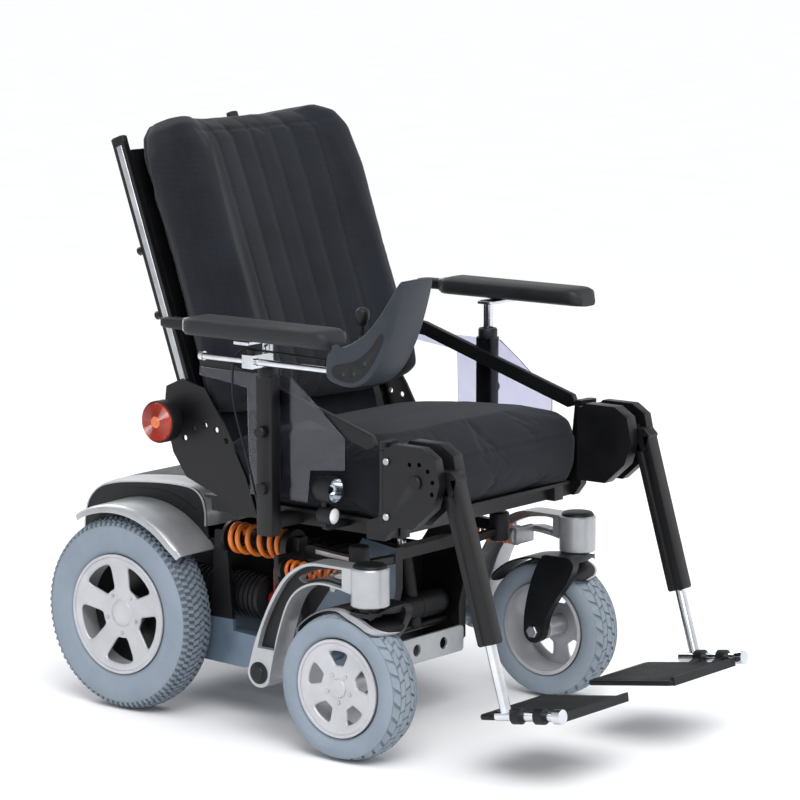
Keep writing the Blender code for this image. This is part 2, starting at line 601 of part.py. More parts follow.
def build_lamps(side_name, side, finish):
    """Headlamp with its indicator on a bracket, and the round tail lamp."""
    x = side * 0.2960
    stem = [(-0.470, 0.380), (-0.486, 0.380), (-0.486, 0.470), (-0.470, 0.470)]
    shapes = [
        disc("Y", (x, 0.467), 0.0240, -0.5230, -0.4800, 14),
        disc("Y", (x, 0.422), 0.0165, -0.5230, -0.4820, 12),
        prism("X", stem, side * 0.290, side * 0.300),
        block((side * (RAIL_X + 0.013 + GAP), side * 0.296), (-0.486, -0.470), (0.388, 0.404)),
    ]
    part("headlamp_" + side_name, "seat", finish["lamp_glass"], shapes)
    shapes = [
        disc("X", (-0.123, 0.548), 0.038, side * 0.2830, side * 0.3130, 20),
        disc("X", (-0.123, 0.548), 0.030, side * 0.3100, side * 0.3190, 18),
        disc("X", (-0.123, 0.548), 0.013, side * (PLATE_X + 0.005 + GAP), side * 0.290, 12),
    ]
    part("tail_lamp_" + side_name, "seat", finish["lamp_red"], shapes)


def build_armrest(side_name, side, finish):
    """Socket with the sloping guard rail, clear side guard, sliding post and arm pad."""
    x = side * SOCKET_X
    inner_face = side * (SOCKET_X - 0.013)
    outer_face = side * (SOCKET_X + 0.013)
    panel_outer = side * (SOCKET_X - 0.013 - GAP)
    panel_inner = side * (SOCKET_X - 0.0165)
    rail_face = side * (SOCKET_X - 0.0168)
    rail = [(-0.214, 0.656), (-0.220, 0.680), (-0.255, 0.676), (-0.600, 0.570), (-0.608, 0.552),
            (-0.590, 0.546), (-0.258, 0.650)]
    shapes = [
        prism("Z", slab(((x - 0.013, x + 0.013), (SOCKET_Y - 0.018, SOCKET_Y + 0.018)), 0.003, 2),
              0.376, 0.656),
        prism("X", rail, side * 0.2865, rail_face),
        disc("X", (SOCKET_Y, 0.613), 0.006, side * 0.290, inner_face + side * 0.002, 12),
        disc("X", (SOCKET_Y, 0.460), 0.011, outer_face - side * 0.002, outer_face + side * 0.010, 12),
    ]
    cuts = [disc("Z", (x, SOCKET_Y), POST_RADIUS + 0.0006, 0.400, 0.70, 12)]
    part("armrest_socket_" + side_name, "seat", finish["black_steel"], shapes, cuts)

    guard = [(-0.215, 0.655), (-0.425, 0.655), (-0.470, 0.622), (-0.545, 0.560), (-0.545, 0.505),
             (-0.468, 0.497), (-0.462, 0.440), (-0.330, 0.440), (-0.325, 0.628), (-0.215, 0.640)]
    part("side_guard_" + side_name, "seat", finish["guard_plastic"],
         [prism("X", guard, panel_inner, panel_outer)],
         [disc("X", (SOCKET_Y, 0.613), 0.0064, side * 0.28, side * 0.32, 12)])

    body = "armrest_" + side_name
    shapes = [
        disc("Z", (x, SOCKET_Y), POST_RADIUS, 0.440, 0.7190, 12),
        prism("Z", slab(((side * 0.345 - 0.043, side * 0.345 + 0.043), (SOCKET_Y - 0.017, SOCKET_Y + 0.017)),
                        0.004, 2), 0.7175, PAD_Z - GAP),
    ]
    cuts = []
    if side_name == "right":
        shapes.append(block((JOY_X - 0.012, x), (SOCKET_Y - 0.013, SOCKET_Y + 0.013), (0.674, 0.698)))
        cuts.append(disc("Y", (JOY_X, JOY_TUBE_Z), 0.0064, -0.5, -0.2, 12))
    part("armrest_post_" + side_name, body, finish["chrome"], shapes, cuts)

    pad_x = side * PAD_X
    plan = slab(((pad_x - 0.0375, pad_x + 0.0375), (-0.582, -0.252)), 0.020, 4)
    rings = []
    for z, shrink in ((PAD_Z, 0.93), (PAD_Z + 0.008, 1.0), (PAD_Z + 0.026, 1.0), (PAD_Z + 0.034, 0.90)):
        rings.append([(pad_x + (px - pad_x) * shrink, -0.417 + (py + 0.417) * (0.75 + 0.25 * shrink), z)
                      for px, py in plan])
    tail = prism("Z", slab(((pad_x - 0.013, pad_x + 0.013), (-0.270, -0.190)), 0.010, 3),
                 PAD_Z + 0.005, PAD_Z + 0.025)
    part("armrest_pad_" + side_name, body, finish["pad_foam"], [loft(rings), tail])


def build_joystick(finish):
    """Control on the right armrest: sliding tube, curved housing, two-axis stick and power button."""
    shapes = [
        disc("Y", (JOY_X, JOY_TUBE_Z), 0.0060, -0.5800, -0.2700, 12),
        disc("Y", (JOY_X, JOY_TUBE_Z), 0.0085, -0.2760, -0.2680, 12),
        disc("Y", (JOY_X, JOY_TUBE_Z), 0.0140, -0.5830, -0.5760, 12),
    ]
    part("joystick_tube", "joystick_slide", finish["chrome"], shapes)

    outline = [(-0.5833, 0.712), (-0.5833, 0.682), (-0.602, 0.671), (-0.640, 0.668), (-0.670, 0.682),
               (-0.697, 0.712), (-0.720, 0.756), (-0.737, 0.804), (-0.747, 0.848), (-0.738, 0.852),
               (-0.716, 0.822), (-0.692, 0.790), (-0.668, 0.764), (-0.640, 0.745), (-0.612, 0.734),
               (-0.590, 0.726)]
    well = disc("Z", JOY_GIMBAL[:2], 0.0185, JOY_GIMBAL[2] - 0.0135, 0.80, 14)
    button_way = Vector((0.0, 0.738, 0.675)).normalized()
    button_place = Vector((JOY_X + 0.020, -0.6915, 0.7903))
    button_hole = rod([button_place - button_way * 0.008, button_place + button_way * 0.02], 0.0070, 14)
    part("joystick_housing", "joystick_slide", finish["handset_grey"],
         [prism("X", outline, JOY_X - 0.0425, JOY_X + 0.0425)], [well, button_hole])

    ring = disc("Z", JOY_GIMBAL[:2], 0.0150, JOY_GIMBAL[2] - 0.003, JOY_GIMBAL[2] + 0.003, 14)
    hole = disc("Z", JOY_GIMBAL[:2], 0.0060, 0.70, 0.80, 12)
    part("joystick_gimbal", "joystick_pitch", finish["black_plastic"], [ring], [hole])

    x, y, z = JOY_GIMBAL
    knob = []
    for height, radius in ((0.030, 0.0050), (0.036, 0.0095), (0.046, 0.0125), (0.055, 0.0115),
                           (0.060, 0.0060)):
        knob.append([(px, py, z + height) for px, py in arc((x, y), radius, 0, 342, 19)])
    stem = disc("Z", (x, y), 0.0038, z - 0.007, z + 0.034, 12)
    part("joystick_stick", "joystick_roll", finish["black_plastic"], [stem, loft(knob)])

    button = rod([button_place - button_way * 0.0055, button_place + button_way * 0.0025], 0.0064, 14)
    part("power_button", "power_button", finish["lever_red"], [button])


def build_legrest(side_name, side, finish):
    """Swing-away housing, elevating hanger, length tube with its foot bar, and the footplate."""
    cheek = [(-0.6432, 0.424), (-0.6432, 0.548), (-0.660, 0.565), (-0.725, 0.565), (-0.752, 0.548),
             (-0.762, 0.505), (-0.748, 0.462), (-0.705, 0.424)]
    shapes = [
        prism("X", cheek, side * 0.2420, side * 0.2680),
        prism("X", cheek, side * 0.2980, side * 0.3180),
        block((side * 0.2440, side * 0.3160), (-0.684, -0.6432), (0.428, 0.558)),
        disc("Z", (side * SWING_X, SWING_Y), 0.0105, 0.4385, 0.5505, 12),
        block((side * 0.292, side * 0.310), (-0.648, -0.632), (0.4385, 0.5505)),
        disc("X", KNEE, 0.0110, side * 0.2640, side * 0.3210, 14),
    ]
    cuts = []
    for k in range(5):
        angle = math.radians(200 - 33 * k)
        hole = (KNEE[0] + 0.036 * math.cos(angle), KNEE[1] - 0.004 + 0.036 * math.sin(angle))
        cuts.append(disc("X", hole, 0.0042, side * 0.29, side * 0.33, 8))
    part("legrest_housing_" + side_name, "legrest_swing_" + side_name, finish["black_steel"], shapes, cuts)

    down = (Vector(HANGER_END) - Vector(HANGER_TOP)).normalized()
    ahead = Vector((down.y, -down.x))
    half = 0.0175
    front_low = Vector(HANGER_END) + ahead * half
    rear_low = Vector(HANGER_END) - ahead * half
    rear_high = Vector(HANGER_TOP) - ahead * half - down * -0.022
    outline = [tuple(front_low), tuple(rear_low), tuple(rear_high), (KNEE[0], KNEE[1] - 0.021)]
    outline += arc(KNEE, 0.021, 315, 450, 6)
    outline += [(-0.762, 0.531), (-0.776, 0.527), tuple(Vector(HANGER_TOP) + ahead * half)]
    shapes = [prism("X", outline, side * (HANGER_X - 0.0145), side * (HANGER_X + 0.0145))]
    low = (side * HANGER_X, *(Vector(HANGER_END) + down * 0.01))
    high = (side * HANGER_X, *(Vector(HANGER_END) - down * 0.218))
    cuts = [
        disc("X", KNEE, 0.0114, side * 0.25, side * 0.32, 14),
        rod([low, high], POST_RADIUS + 0.0006, 16),
    ]
    part("legrest_hanger_" + side_name, "legrest_lift_" + side_name, finish["black_steel"], shapes, cuts)

    top = (side * HANGER_X, *(Vector(HANGER_END) - down * 0.190))
    foot = (side * HANGER_X, *(Vector(HANGER_END) + down * 0.116))
    bar_rear = (side * FOOT_BAR_X, *FOOT_BAR_REAR)
    bar_front = (side * FOOT_BAR_X, *FOOT_BAR_FRONT)
    along = (Vector(bar_front) - Vector(bar_rear)).normalized()
    shapes = [
        rod([top, foot], POST_RADIUS, 16),
        rod([bar_rear, bar_front], 0.0085, 14),
        rod([Vector(bar_front) - along * 0.006, Vector(bar_front) + along * 0.010], 0.0125, 14),
    ]
    part("legrest_tube_" + side_name, "legrest_length_" + side_name, finish["chrome"], shapes)

    rise = Vector((0.0, -along.z, along.y))
    if rise.z < 0:
        rise = -rise
    rings = []
    for distance, inset in ((-0.060, 0.0220), (0.027, 0.0220), (0.028, 0.0125), (0.126, 0.0125)):
        place = Vector(bar_rear) + along * distance
        ring = []
        for reach, lift in ((inset, -0.0035), (inset, -0.0130), (0.2090, -0.0130), (0.2110, -0.0090),
                            (0.2090, -0.0035)):
            ring.append(place + Vector((-side * reach, 0.0, 0.0)) + rise * lift)
        rings.append(ring)
    shapes = [loft(rings)]
    bores = []
    for start in (0.044, 0.092):
        place = Vector(bar_rear) + along * start
        shapes.append(rod([place, place + along * 0.022], 0.0140, 14))
    bores.append(rod([Vector(bar_rear) - along * 0.02, Vector(bar_front) + along * 0.02], 0.0092, 14))
    part("footplate_" + side_name, "footplate_" + side_name, finish["black_plastic"], shapes, bores)


def build_cable(finish):
    """Control cable from the housing to the seat frame, clipped along the tube and the socket."""
    route = [(JOY_X, -0.5826, 0.7040), (JOY_X, -0.545, 0.7035), (JOY_X + 0.001, -0.480, 0.7045),
             (JOY_X + 0.003, -0.400, 0.7060), (JOY_X + 0.008, -0.362, 0.7035),
             (JOY_X + 0.0125, -0.338, 0.690), (JOY_X + 0.014, -0.328, 0.660), (JOY_X + 0.018, -0.328, 0.600),
             (JOY_X + 0.026, -0.340, 0.540), (JOY_X + 0.034, -0.352, 0.480),
             (JOY_X + 0.046, -0.355, 0.430), (JOY_X + 0.066, -0.350, 0.400), (JOY_X + 0.096, -0.345, 0.396),
             (-0.2388, -0.345, 0.396)]
    curve = bpy.data.curves.new("joystick_cable", "CURVE")
    curve.dimensions = "3D"
    curve.bevel_depth = 0.0022
    curve.bevel_resolution = 1
    curve.use_fill_caps = True
    smooth = smooth_route(route, 3)
    spline = curve.splines.new("POLY")
    spline.points.add(len(smooth) - 1)
    for point, place in zip(spline.points, smooth):
        point.co = (*place, 1.0)
    curve.materials.append(finish["black_plastic"])
    cable = bpy.data.objects.new("joystick_cable", curve)
    bpy.context.scene.collection.objects.link(cable)
    empty, point = BODIES["seat"]
    cable.parent = empty
    cable.location = -Vector(point)


def smooth_route(route, steps):
    """Catmull-Rom curve through the route's points."""
    points = [Vector(p) for p in route]
    padded = [points[0] * 2 - points[1]] + points + [points[-1] * 2 - points[-2]]
    smooth = []
    for i in range(1, len(padded) - 2):
        a, b, c, d = padded[i - 1:i + 3]
        for k in range(steps):
            t = k / steps
            smooth.append(0.5 * (2 * b + (c - a) * t + (2 * a - 5 * b + 4 * c - d) * t ** 2
                                 + (3 * b - a - 3 * c + d) * t ** 3))
    smooth.append(points[-1])
    return smooth


# ---------------------------------------------------------------- the whole chair
def add_bodies():
    """Every moving body, with its joint's point."""
    add_body("base", None, (0.0, 0.0, 0.0))
    add_body("tilt_rod", "base", (0.0, *ACTUATOR_TOP))
    add_body("seat", "base", (0.0, *SEAT_PIVOT))
    add_body("backrest", "seat", (0.0, *RECLINE))
    for name, side in SIDES.items():
        add_body("drive_arm_" + name, "base", (side * 0.2, *DRIVE_PIVOT))
        add_body("drive_wheel_" + name, "drive_arm_" + name, (side * DRIVE_CENTRE_X, 0.0, DRIVE_RADIUS))
        add_body("brake_lever_" + name, "drive_arm_" + name, (side * 0.163, -0.262, 0.222))
        add_body("castor_arm_" + name, "base", (side * STEM_X, *CASTOR_PIVOT))
        add_body("castor_swivel_" + name, "castor_arm_" + name, (side * STEM_X, STEM_Y, 0.30))
        add_body("castor_wheel_" + name, "castor_swivel_" + name,
                 (side * CASTOR_CENTRE_X, CASTOR_AXLE_Y, CASTOR_RADIUS))
        add_body("armrest_" + name, "seat", (side * SOCKET_X, SOCKET_Y, 0.656))
        add_body("legrest_swing_" + name, "seat", (side * SWING_X, SWING_Y, 0.495))
        add_body("legrest_lift_" + name, "legrest_swing_" + name, (side * HANGER_X, *KNEE))
        add_body("legrest_length_" + name, "legrest_lift_" + name, (side * HANGER_X, *HANGER_END))
        add_body("footplate_" + name, "legrest_length_" + name, (side * FOOT_BAR_X, *FOOT_BAR_REAR))
    add_body("joystick_slide", "armrest_right", (JOY_X, SOCKET_Y, JOY_TUBE_Z))
    add_body("joystick_pitch", "joystick_slide", JOY_GIMBAL)
    add_body("joystick_roll", "joystick_pitch", JOY_GIMBAL)
    add_body("power_button", "joystick_slide", (JOY_X + 0.020, -0.6915, 0.7903))


def main():
    for obj in list(bpy.data.objects):
        bpy.data.objects.remove(obj, do_unlink=True)
    finish = {name: make_material(name, *values) for name, values in FINISHES.items()}
    add_bodies()
    build_chassis(finish)
    build_power(finish)
    build_shroud(finish)
    build_actuator(finish)
    build_seat_frame(finish)
    build_cushions(finish)
    build_back_frame(finish)
    for name, side in SIDES.items():
        build_drive(name, side, finish)
        build_castor(name, side, finish)
        build_lamps(name, side, finish)
        build_armrest(name, side, finish)
        build_legrest(name, side, finish)
    build_joystick(finish)
    build_cable(finish)


main()
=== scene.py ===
# %% [markdown]
# # A power wheelchair around its CAD frame
# The CAD model gives every part's place, size and joint. This script gives the chair its looks:
# sewn cushions, rubber tyres with a tread, cast and painted metal, chrome tubes and moulded plastic.
# Nothing is moved or resized. A piece either replaces a CAD node or is trim that rides on its body.

# %% Load the frame
import json
import math

import bmesh
import bpy
from mathutils import Matrix, Vector, noise

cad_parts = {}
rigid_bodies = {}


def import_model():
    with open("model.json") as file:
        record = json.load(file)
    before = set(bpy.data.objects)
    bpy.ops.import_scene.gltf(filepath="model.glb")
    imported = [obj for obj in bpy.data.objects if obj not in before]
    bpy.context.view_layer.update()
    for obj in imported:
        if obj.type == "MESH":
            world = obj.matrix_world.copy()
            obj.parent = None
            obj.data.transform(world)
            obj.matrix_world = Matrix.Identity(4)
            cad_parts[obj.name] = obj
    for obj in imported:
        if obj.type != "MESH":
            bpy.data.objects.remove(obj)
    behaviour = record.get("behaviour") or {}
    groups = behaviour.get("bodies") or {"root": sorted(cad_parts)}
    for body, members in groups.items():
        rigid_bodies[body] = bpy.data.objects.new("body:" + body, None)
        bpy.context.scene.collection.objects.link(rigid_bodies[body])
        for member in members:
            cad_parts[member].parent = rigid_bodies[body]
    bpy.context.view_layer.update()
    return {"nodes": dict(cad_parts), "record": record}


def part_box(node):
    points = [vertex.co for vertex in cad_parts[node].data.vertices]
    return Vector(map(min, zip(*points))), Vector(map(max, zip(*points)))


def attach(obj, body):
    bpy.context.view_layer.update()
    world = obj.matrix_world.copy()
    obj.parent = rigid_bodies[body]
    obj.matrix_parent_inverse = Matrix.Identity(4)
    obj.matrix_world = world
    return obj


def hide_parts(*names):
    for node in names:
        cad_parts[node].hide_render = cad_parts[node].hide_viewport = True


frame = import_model()
BODY_OF = {node: body for body, nodes in frame["record"]["behaviour"]["bodies"].items() for node in nodes}
SIDES = {"right": -1, "left": 1}

# %% [markdown]
# ## The base frame of reference
# A wheelchair is measured from its drive axle, so the outlines below put Y = 0 there. The axle's place
# in the CAD frame comes from the drive tyre's own box, and each piece is shifted by it once, at the end.

# %% Where the axles are
def middle(node, axis):
    low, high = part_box(node)
    return (low[axis] + high[axis]) / 2


AXLE_Y = middle("drive_tyre_right", 1)
DRIVE_R = middle("drive_tyre_right", 2)
CASTOR_Y = middle("castor_tyre_right", 1) - AXLE_Y
CASTOR_R = middle("castor_tyre_right", 2)
DRIVE_X = middle("drive_tyre_left", 0)
CASTOR_X = middle("castor_tyre_left", 0)
print("drive axle", round(AXLE_Y, 4), "radius", round(DRIVE_R, 4), "castor", round(CASTOR_R, 4))

# %% [markdown]
# ## Colours and one node helper
# Colours are written the way a paint chart gives them, as sRGB hex, and turned to linear light once.
# `add` puts one node in a material with its settings and its links, which keeps a recipe to a few lines.

# %% Helpers for materials
def hexcol(code):
    """sRGB hex to linear RGBA."""
    values = [int(code[i:i + 2], 16) / 255 for i in (0, 2, 4)]
    return tuple(v / 12.92 if v <= 0.04045 else ((v + 0.055) / 1.055) ** 2.4 for v in values) + (1.0,)


def add(tree, kind, settings=None, **links):
    """One node: settings are attributes or sockets by name, links are sockets fed by another node."""
    node = tree.nodes.new(kind)
    for key, value in (settings or {}).items():
        if key in node.inputs:
            node.inputs[key].default_value = value
        else:
            setattr(node, key, value)
    for key, source in links.items():
        tree.links.new(source, node.inputs[key.replace("_", " ")])
    return node


def new_material(name, roughness, metallic=0.0, **sockets):
    """Empty Principled material, and its tree and shader."""
    material = bpy.data.materials.new(name)
    material.use_nodes = True
    tree = material.node_tree
    shader = tree.nodes["Principled BSDF"]
    shader.inputs["Roughness"].default_value = roughness
    shader.inputs["Metallic"].default_value = metallic
    for key, value in sockets.items():
        shader.inputs[key.replace("_", " ")].default_value = value
    return material, tree, shader


def speckle(tree, scale, detail=3.0, rough=0.6):
    """Noise in the piece's own coordinates, in features per metre."""
    place = add(tree, "ShaderNodeTexCoord")
    return add(tree, "ShaderNodeTexNoise", {"Scale": scale, "Detail": detail, "Roughness": rough},
               Vector=place.outputs["Object"])


def vary(tree, factor, low, high, dark, light):
    """Colour that goes from dark to light where factor goes from low to high."""
    ramp = add(tree, "ShaderNodeValToRGB", Fac=factor)
    ramp.color_ramp.elements[0].position = low
    ramp.color_ramp.elements[1].position = high
    ramp.color_ramp.elements[0].color = hexcol(dark)
    ramp.color_ramp.elements[1].color = hexcol(light)
    return ramp.outputs["Color"]


def rough_range(tree, factor, low, high):
    """Roughness between low and high, driven by a factor around 0.5."""
    spread = add(tree, "ShaderNodeMapRange", {"From Min": 0.3, "From Max": 0.7, "To Min": low,
                                              "To Max": high},
                 Value=factor)
    return spread.outputs["Result"]


def bump(tree, height, strength, millimetres):
    relief = add(tree, "ShaderNodeBump", {"Strength": strength, "Distance": millimetres / 1000},
                 Height=height)
    return relief.outputs["Normal"]


def surface(name, dark, light, roughness, grain_mm, metallic=0.0, relief=0.3, depth_mm=0.05, spread=0.06,
            cloud=14.0, **sockets):
    """A hard surface: large soft colour clouds, fine grain in the relief, and roughness that drifts."""
    material, tree, shader = new_material(name, roughness, metallic, **sockets)
    clouds = speckle(tree, cloud)
    grain = speckle(tree, 1000.0 / grain_mm, 2.0)
    link = tree.links.new
    link(vary(tree, clouds.outputs["Fac"], 0.35, 0.65, dark, light), shader.inputs["Base Color"])
    link(rough_range(tree, clouds.outputs["Fac"], roughness - spread, roughness + spread),
         shader.inputs["Roughness"])
    link(bump(tree, grain.outputs["Fac"], relief, depth_mm), shader.inputs["Normal"])
    return material


print("half grey in linear light", round(hexcol("808080")[0], 3))

# %% [markdown]
# ## Painted metal, castings and chrome
# The base is welded steel and die cast aluminium. Both are sprayed: a metallic paint whose flakes are far
# too fine to see, so only its soft sparkle in the roughness is kept, drawn at 1.5 mm. The black steel is
# powder coated, which leaves a faint orange peel about 2 mm across. Chrome plate is nearly a mirror.

# %% Metal finishes
blue_paint = surface("blue_grey_metallic_paint", "5b6b7b", "697a8a", 0.38, 1.5, metallic=0.5, relief=0.12,
                     Coat_Weight=0.3, Coat_Roughness=0.15)
silver_paint = surface("silver_sprayed_casting", "a3a5a8", "b2b4b6", 0.36, 1.5, metallic=0.5, relief=0.12,
                       Coat_Weight=0.35, Coat_Roughness=0.12)
rim_lacquer = surface("silver_lacquered_rim", "b0b1b5", "bebfc3", 0.42, 1.2, metallic=0.3, relief=0.15,
                      Coat_Weight=0.25, Coat_Roughness=0.2)
black_steel = surface("black_powder_coated_steel", "070709", "0c0c0f", 0.42, 2.0, relief=0.35,
                      depth_mm=0.08, Specular_IOR_Level=0.35)
chrome = surface("chrome_plated_steel", "c9ccd1", "e2e4e8", 0.14, 8.0, metallic=1.0, relief=0.03, spread=0.04)
zinc = surface("zinc_plated_bolt", "9a9ca0", "bfc1c4", 0.30, 0.8, metallic=1.0, relief=0.2)
orange_coat = surface("orange_powder_coated_spring", "c9621b", "e07c28", 0.36, 1.8, relief=0.3,
                      depth_mm=0.06, Coat_Weight=0.3)
print("metal finishes", len([blue_paint, silver_paint, rim_lacquer, black_steel, chrome, zinc, orange_coat]))

# %% [markdown]
# ## Moulded plastic and skinned foam
# ABS covers have a spark eroded grain of about 0.8 mm. The arm pads are polyurethane foam with its own
# skin: a soft leather-like grain, and a slight sheen where arms have rubbed it.

# %% Plastic finishes
black_abs = surface("black_moulded_abs", "08090b", "0e0f12", 0.50, 0.8, relief=0.35, depth_mm=0.06,
                    Specular_IOR_Level=0.35)
case_plastic = surface("dark_grey_case_plastic", "131418", "1a1b20", 0.55, 1.2, relief=0.4,
                       Specular_IOR_Level=0.35)
handset_plastic = surface("blue_grey_handset_plastic", "1e232c", "272d37", 0.46, 0.9, relief=0.3,
                          Specular_IOR_Level=0.4)
pad_skin = surface("skinned_foam_arm_pad", "111216", "18191e", 0.55, 1.6, relief=0.55, depth_mm=0.15,
                   Sheen_Weight=0.05, Specular_IOR_Level=0.4)
red_plastic = surface("red_moulded_plastic", "7a1712", "93201a", 0.42, 0.9, relief=0.25)
white_lens = surface("frosted_white_lens", "cdd2d6", "eef1f3", 0.18, 2.5, relief=0.4, depth_mm=0.2,
                     Coat_Weight=0.8)
red_lens = surface("red_prismatic_lens", "8c1d0e", "b4321a", 0.16, 2.2, relief=0.7, depth_mm=0.3,
                   Coat_Weight=0.9)
amber_lens = surface("amber_prismatic_lens", "c65a14", "e58228", 0.16, 2.2, relief=0.7, depth_mm=0.3,
                     Coat_Weight=0.9)
print("materials so far", len(bpy.data.materials))

# %% [markdown]
# ## Grey rubber
# Indoor wheelchairs wear grey, non-marking rubber. Moulded rubber is dull and picks up dust in its grain.
# The drive tyres' tread blocks are drawn darker than the wall, and the grooves between the blocks of both
# tyres darker still, which is painted shade.

# %% Rubber finishes
side_rubber = surface("grey_non_marking_rubber", "808b96", "88939e", 0.78, 1.4, relief=0.4, depth_mm=0.1,
                      cloud=12.0, Specular_IOR_Level=0.3)
# Drive tread blocks, drawn darker than the wall; on the castor tyres this rubber colours the grooves between
# blocks as painted shade.
dark_tread_and_groove_shade = surface("dark_tread_and_groove_shade_rubber", "6f7a85", "7a8590", 0.85, 1.0, relief=0.5, depth_mm=0.15,
                       cloud=60.0)
# Painted shade: the drive tyres' grooves between the tread blocks.
groove_shade_rubber = surface("painted_groove_shade_rubber", "515b65", "5b656f", 0.92, 1.0, relief=0.5, depth_mm=0.15,
                        cloud=60.0)
castor_tread = surface("dusty_castor_tread", "7d8892", "87919a", 0.88, 1.0, relief=0.5, depth_mm=0.15,
                       cloud=60.0)
print("materials so far", len(bpy.data.materials))

# %% [markdown]
# ## Seat cloth
# The covers are a stretch polyester knit, charcoal with a blue cast. Its real threads are 0.4 mm apart,
# which is finer than the view can show, so the weave is drawn at 1.6 mm: two crossed waves in the relief,
# a weak sheen for the fibre ends, and soft clouds where the pile lies differently.

# %% Seat cloth
def cloth(name, dark, light, thread_mm):
    material, tree, shader = new_material(name, 0.9, Sheen_Weight=0.08, Sheen_Roughness=0.5,
                                          Specular_IOR_Level=0.2)
    place = add(tree, "ShaderNodeTexCoord").outputs["Object"]
    clouds = speckle(tree, 9.0, 4.0)
    heights = []
    for way in ("X", "Z"):
        wave = add(tree, "ShaderNodeTexWave", {"bands_direction": way, "Scale": 1000 / thread_mm / 20,
                                               "Distortion": 0.6, "Detail": 1.0}, Vector=place)
        heights.append(wave.outputs["Fac"])
    weave = add(tree, "ShaderNodeMath", {"operation": "MAXIMUM"})
    tree.links.new(heights[0], weave.inputs[0])
    tree.links.new(heights[1], weave.inputs[1])
    mixed = add(tree, "ShaderNodeMath", {"operation": "MULTIPLY_ADD"})
    tree.links.new(clouds.outputs["Fac"], mixed.inputs[0])
    mixed.inputs[1].default_value = 0.85
    shade = add(tree, "ShaderNodeMath", {"operation": "MULTIPLY"})
    tree.links.new(weave.outputs[0], shade.inputs[0])
    shade.inputs[1].default_value = 0.12
    tree.links.new(shade.outputs[0], mixed.inputs[2])
    tree.links.new(vary(tree, mixed.outputs[0], 0.30, 0.62, dark, light), shader.inputs["Base Color"])
    tree.links.new(bump(tree, weave.outputs[0], 0.22, 0.25), shader.inputs["Normal"])
    return material


seat_cloth = cloth("charcoal_stretch_knit", "121419", "1a1d24", 1.6)
# Painted shade: a near-black cord laid along the back cushion's seam grooves darkens them.
seam_shade_cord = surface("dark_seam_shade_cord", "0f1012", "1b1c1f", 0.8, 0.8, relief=0.6)
print("materials so far", len(bpy.data.materials))

# %% [markdown]
# ## Clear sheet and lenses
# The clothing guards are 3 mm tinted polycarbonate: light passes, and the tint shows as a pale violet.

# %% Clear plastic
def clear_sheet(name, tint, dusty, roughness):
    """Light passes and takes the tint; dust in the grain makes it a little duller in places."""
    material, tree, shader = new_material(name, roughness, IOR=1.49, Transmission_Weight=1.0,
                                          Specular_IOR_Level=0.12)
    dust = speckle(tree, 40.0)
    tree.links.new(vary(tree, dust.outputs["Fac"], 0.3, 0.7, dusty, tint), shader.inputs["Base Color"])
    tree.links.new(rough_range(tree, dust.outputs["Fac"], roughness, roughness + 0.1),
                   shader.inputs["Roughness"])
    return material


guard_sheet = clear_sheet("tinted_polycarbonate", "cfcfe2", "c9c9dd", 0.05)
lens_clear = clear_sheet("clear_lamp_lens", "f4f8fb", "edf3f8", 0.03)
print("materials so far", len(bpy.data.materials))

# %% [markdown]
# ## Shapes
# A few mesh helpers cover most of the chair: an extruded outline, a turned profile, a tube along a curve
# and a skin over rings. `piece` finishes one: it rounds the edges, shifts it to the CAD frame, gives it
# its material, and lets it ride on its body.

# %% Mesh helpers
PLACE = {
    "X": lambda a, b, t: (t, a, b),
    "Y": lambda a, b, t: (a, t, b),
    "Z": lambda a, b, t: (a, b, t),
}


def arc(centre, radius, start, end, steps):
    """Points on an arc between two angles in degrees."""
    angles = [math.radians(start + (end - start) * i / steps) for i in range(steps + 1)]
    return [(centre[0] + radius * math.cos(a), centre[1] + radius * math.sin(a)) for a in angles]


def slab(size, radius, steps=5):
    """Rectangle ((a0, a1), (b0, b1)) with round corners."""
    (a0, a1), (b0, b1) = size
    corners = ((a1 - radius, b1 - radius, 0), (a0 + radius, b1 - radius, 90),
               (a0 + radius, b0 + radius, 180), (a1 - radius, b0 + radius, 270))
    return [p for a, b, turn in corners for p in arc((a, b), radius, turn, turn + 90, steps)]


def smooth(points, steps=6, closed=False):
    """Catmull-Rom curve through points of any dimension."""
    pts = [Vector(p) for p in points]
    if closed:
        padded = [pts[-1]] + pts + [pts[0], pts[1]]
    else:
        padded = [pts[0] * 2 - pts[1]] + pts + [pts[-1] * 2 - pts[-2]]
    out = []
    for i in range(1, len(padded) - 2):
        a, b, c, d = padded[i - 1:i + 3]
        for k in range(steps):
            t = k / steps
            out.append(0.5 * (2 * b + (c - a) * t + (2 * a - 5 * b + 4 * c - d) * t ** 2
                              + (3 * b - a - 3 * c + d) * t ** 3))
    return out if closed else out + [pts[-1]]


def extrude(axis, outline, start, end):
    """Outline across an axis, extruded along it, as vertices and faces."""
    n = len(outline)
    verts = [PLACE[axis](p[0], p[1], place) for place in (start, end) for p in outline]
    faces = [tuple(range(n)), tuple(range(n, 2 * n))]
    faces += [(i, (i + 1) % n, (i + 1) % n + n, i + n) for i in range(n)]
    return verts, faces


def skin(rings, closed_path=False, caps=True):
    """Faces over rings of equal length, each ring closed."""
    n = len(rings[0])
    verts = [tuple(p) for ring in rings for p in ring]
    faces = []
    rows = len(rings)
    for r in range(rows if closed_path else rows - 1):
        s = (r + 1) % rows
        faces += [(r * n + i, r * n + (i + 1) % n, s * n + (i + 1) % n, s * n + i) for i in range(n)]
    if caps and not closed_path:
        faces += [tuple(range(n)), tuple(range((rows - 1) * n, rows * n))]
    return verts, faces


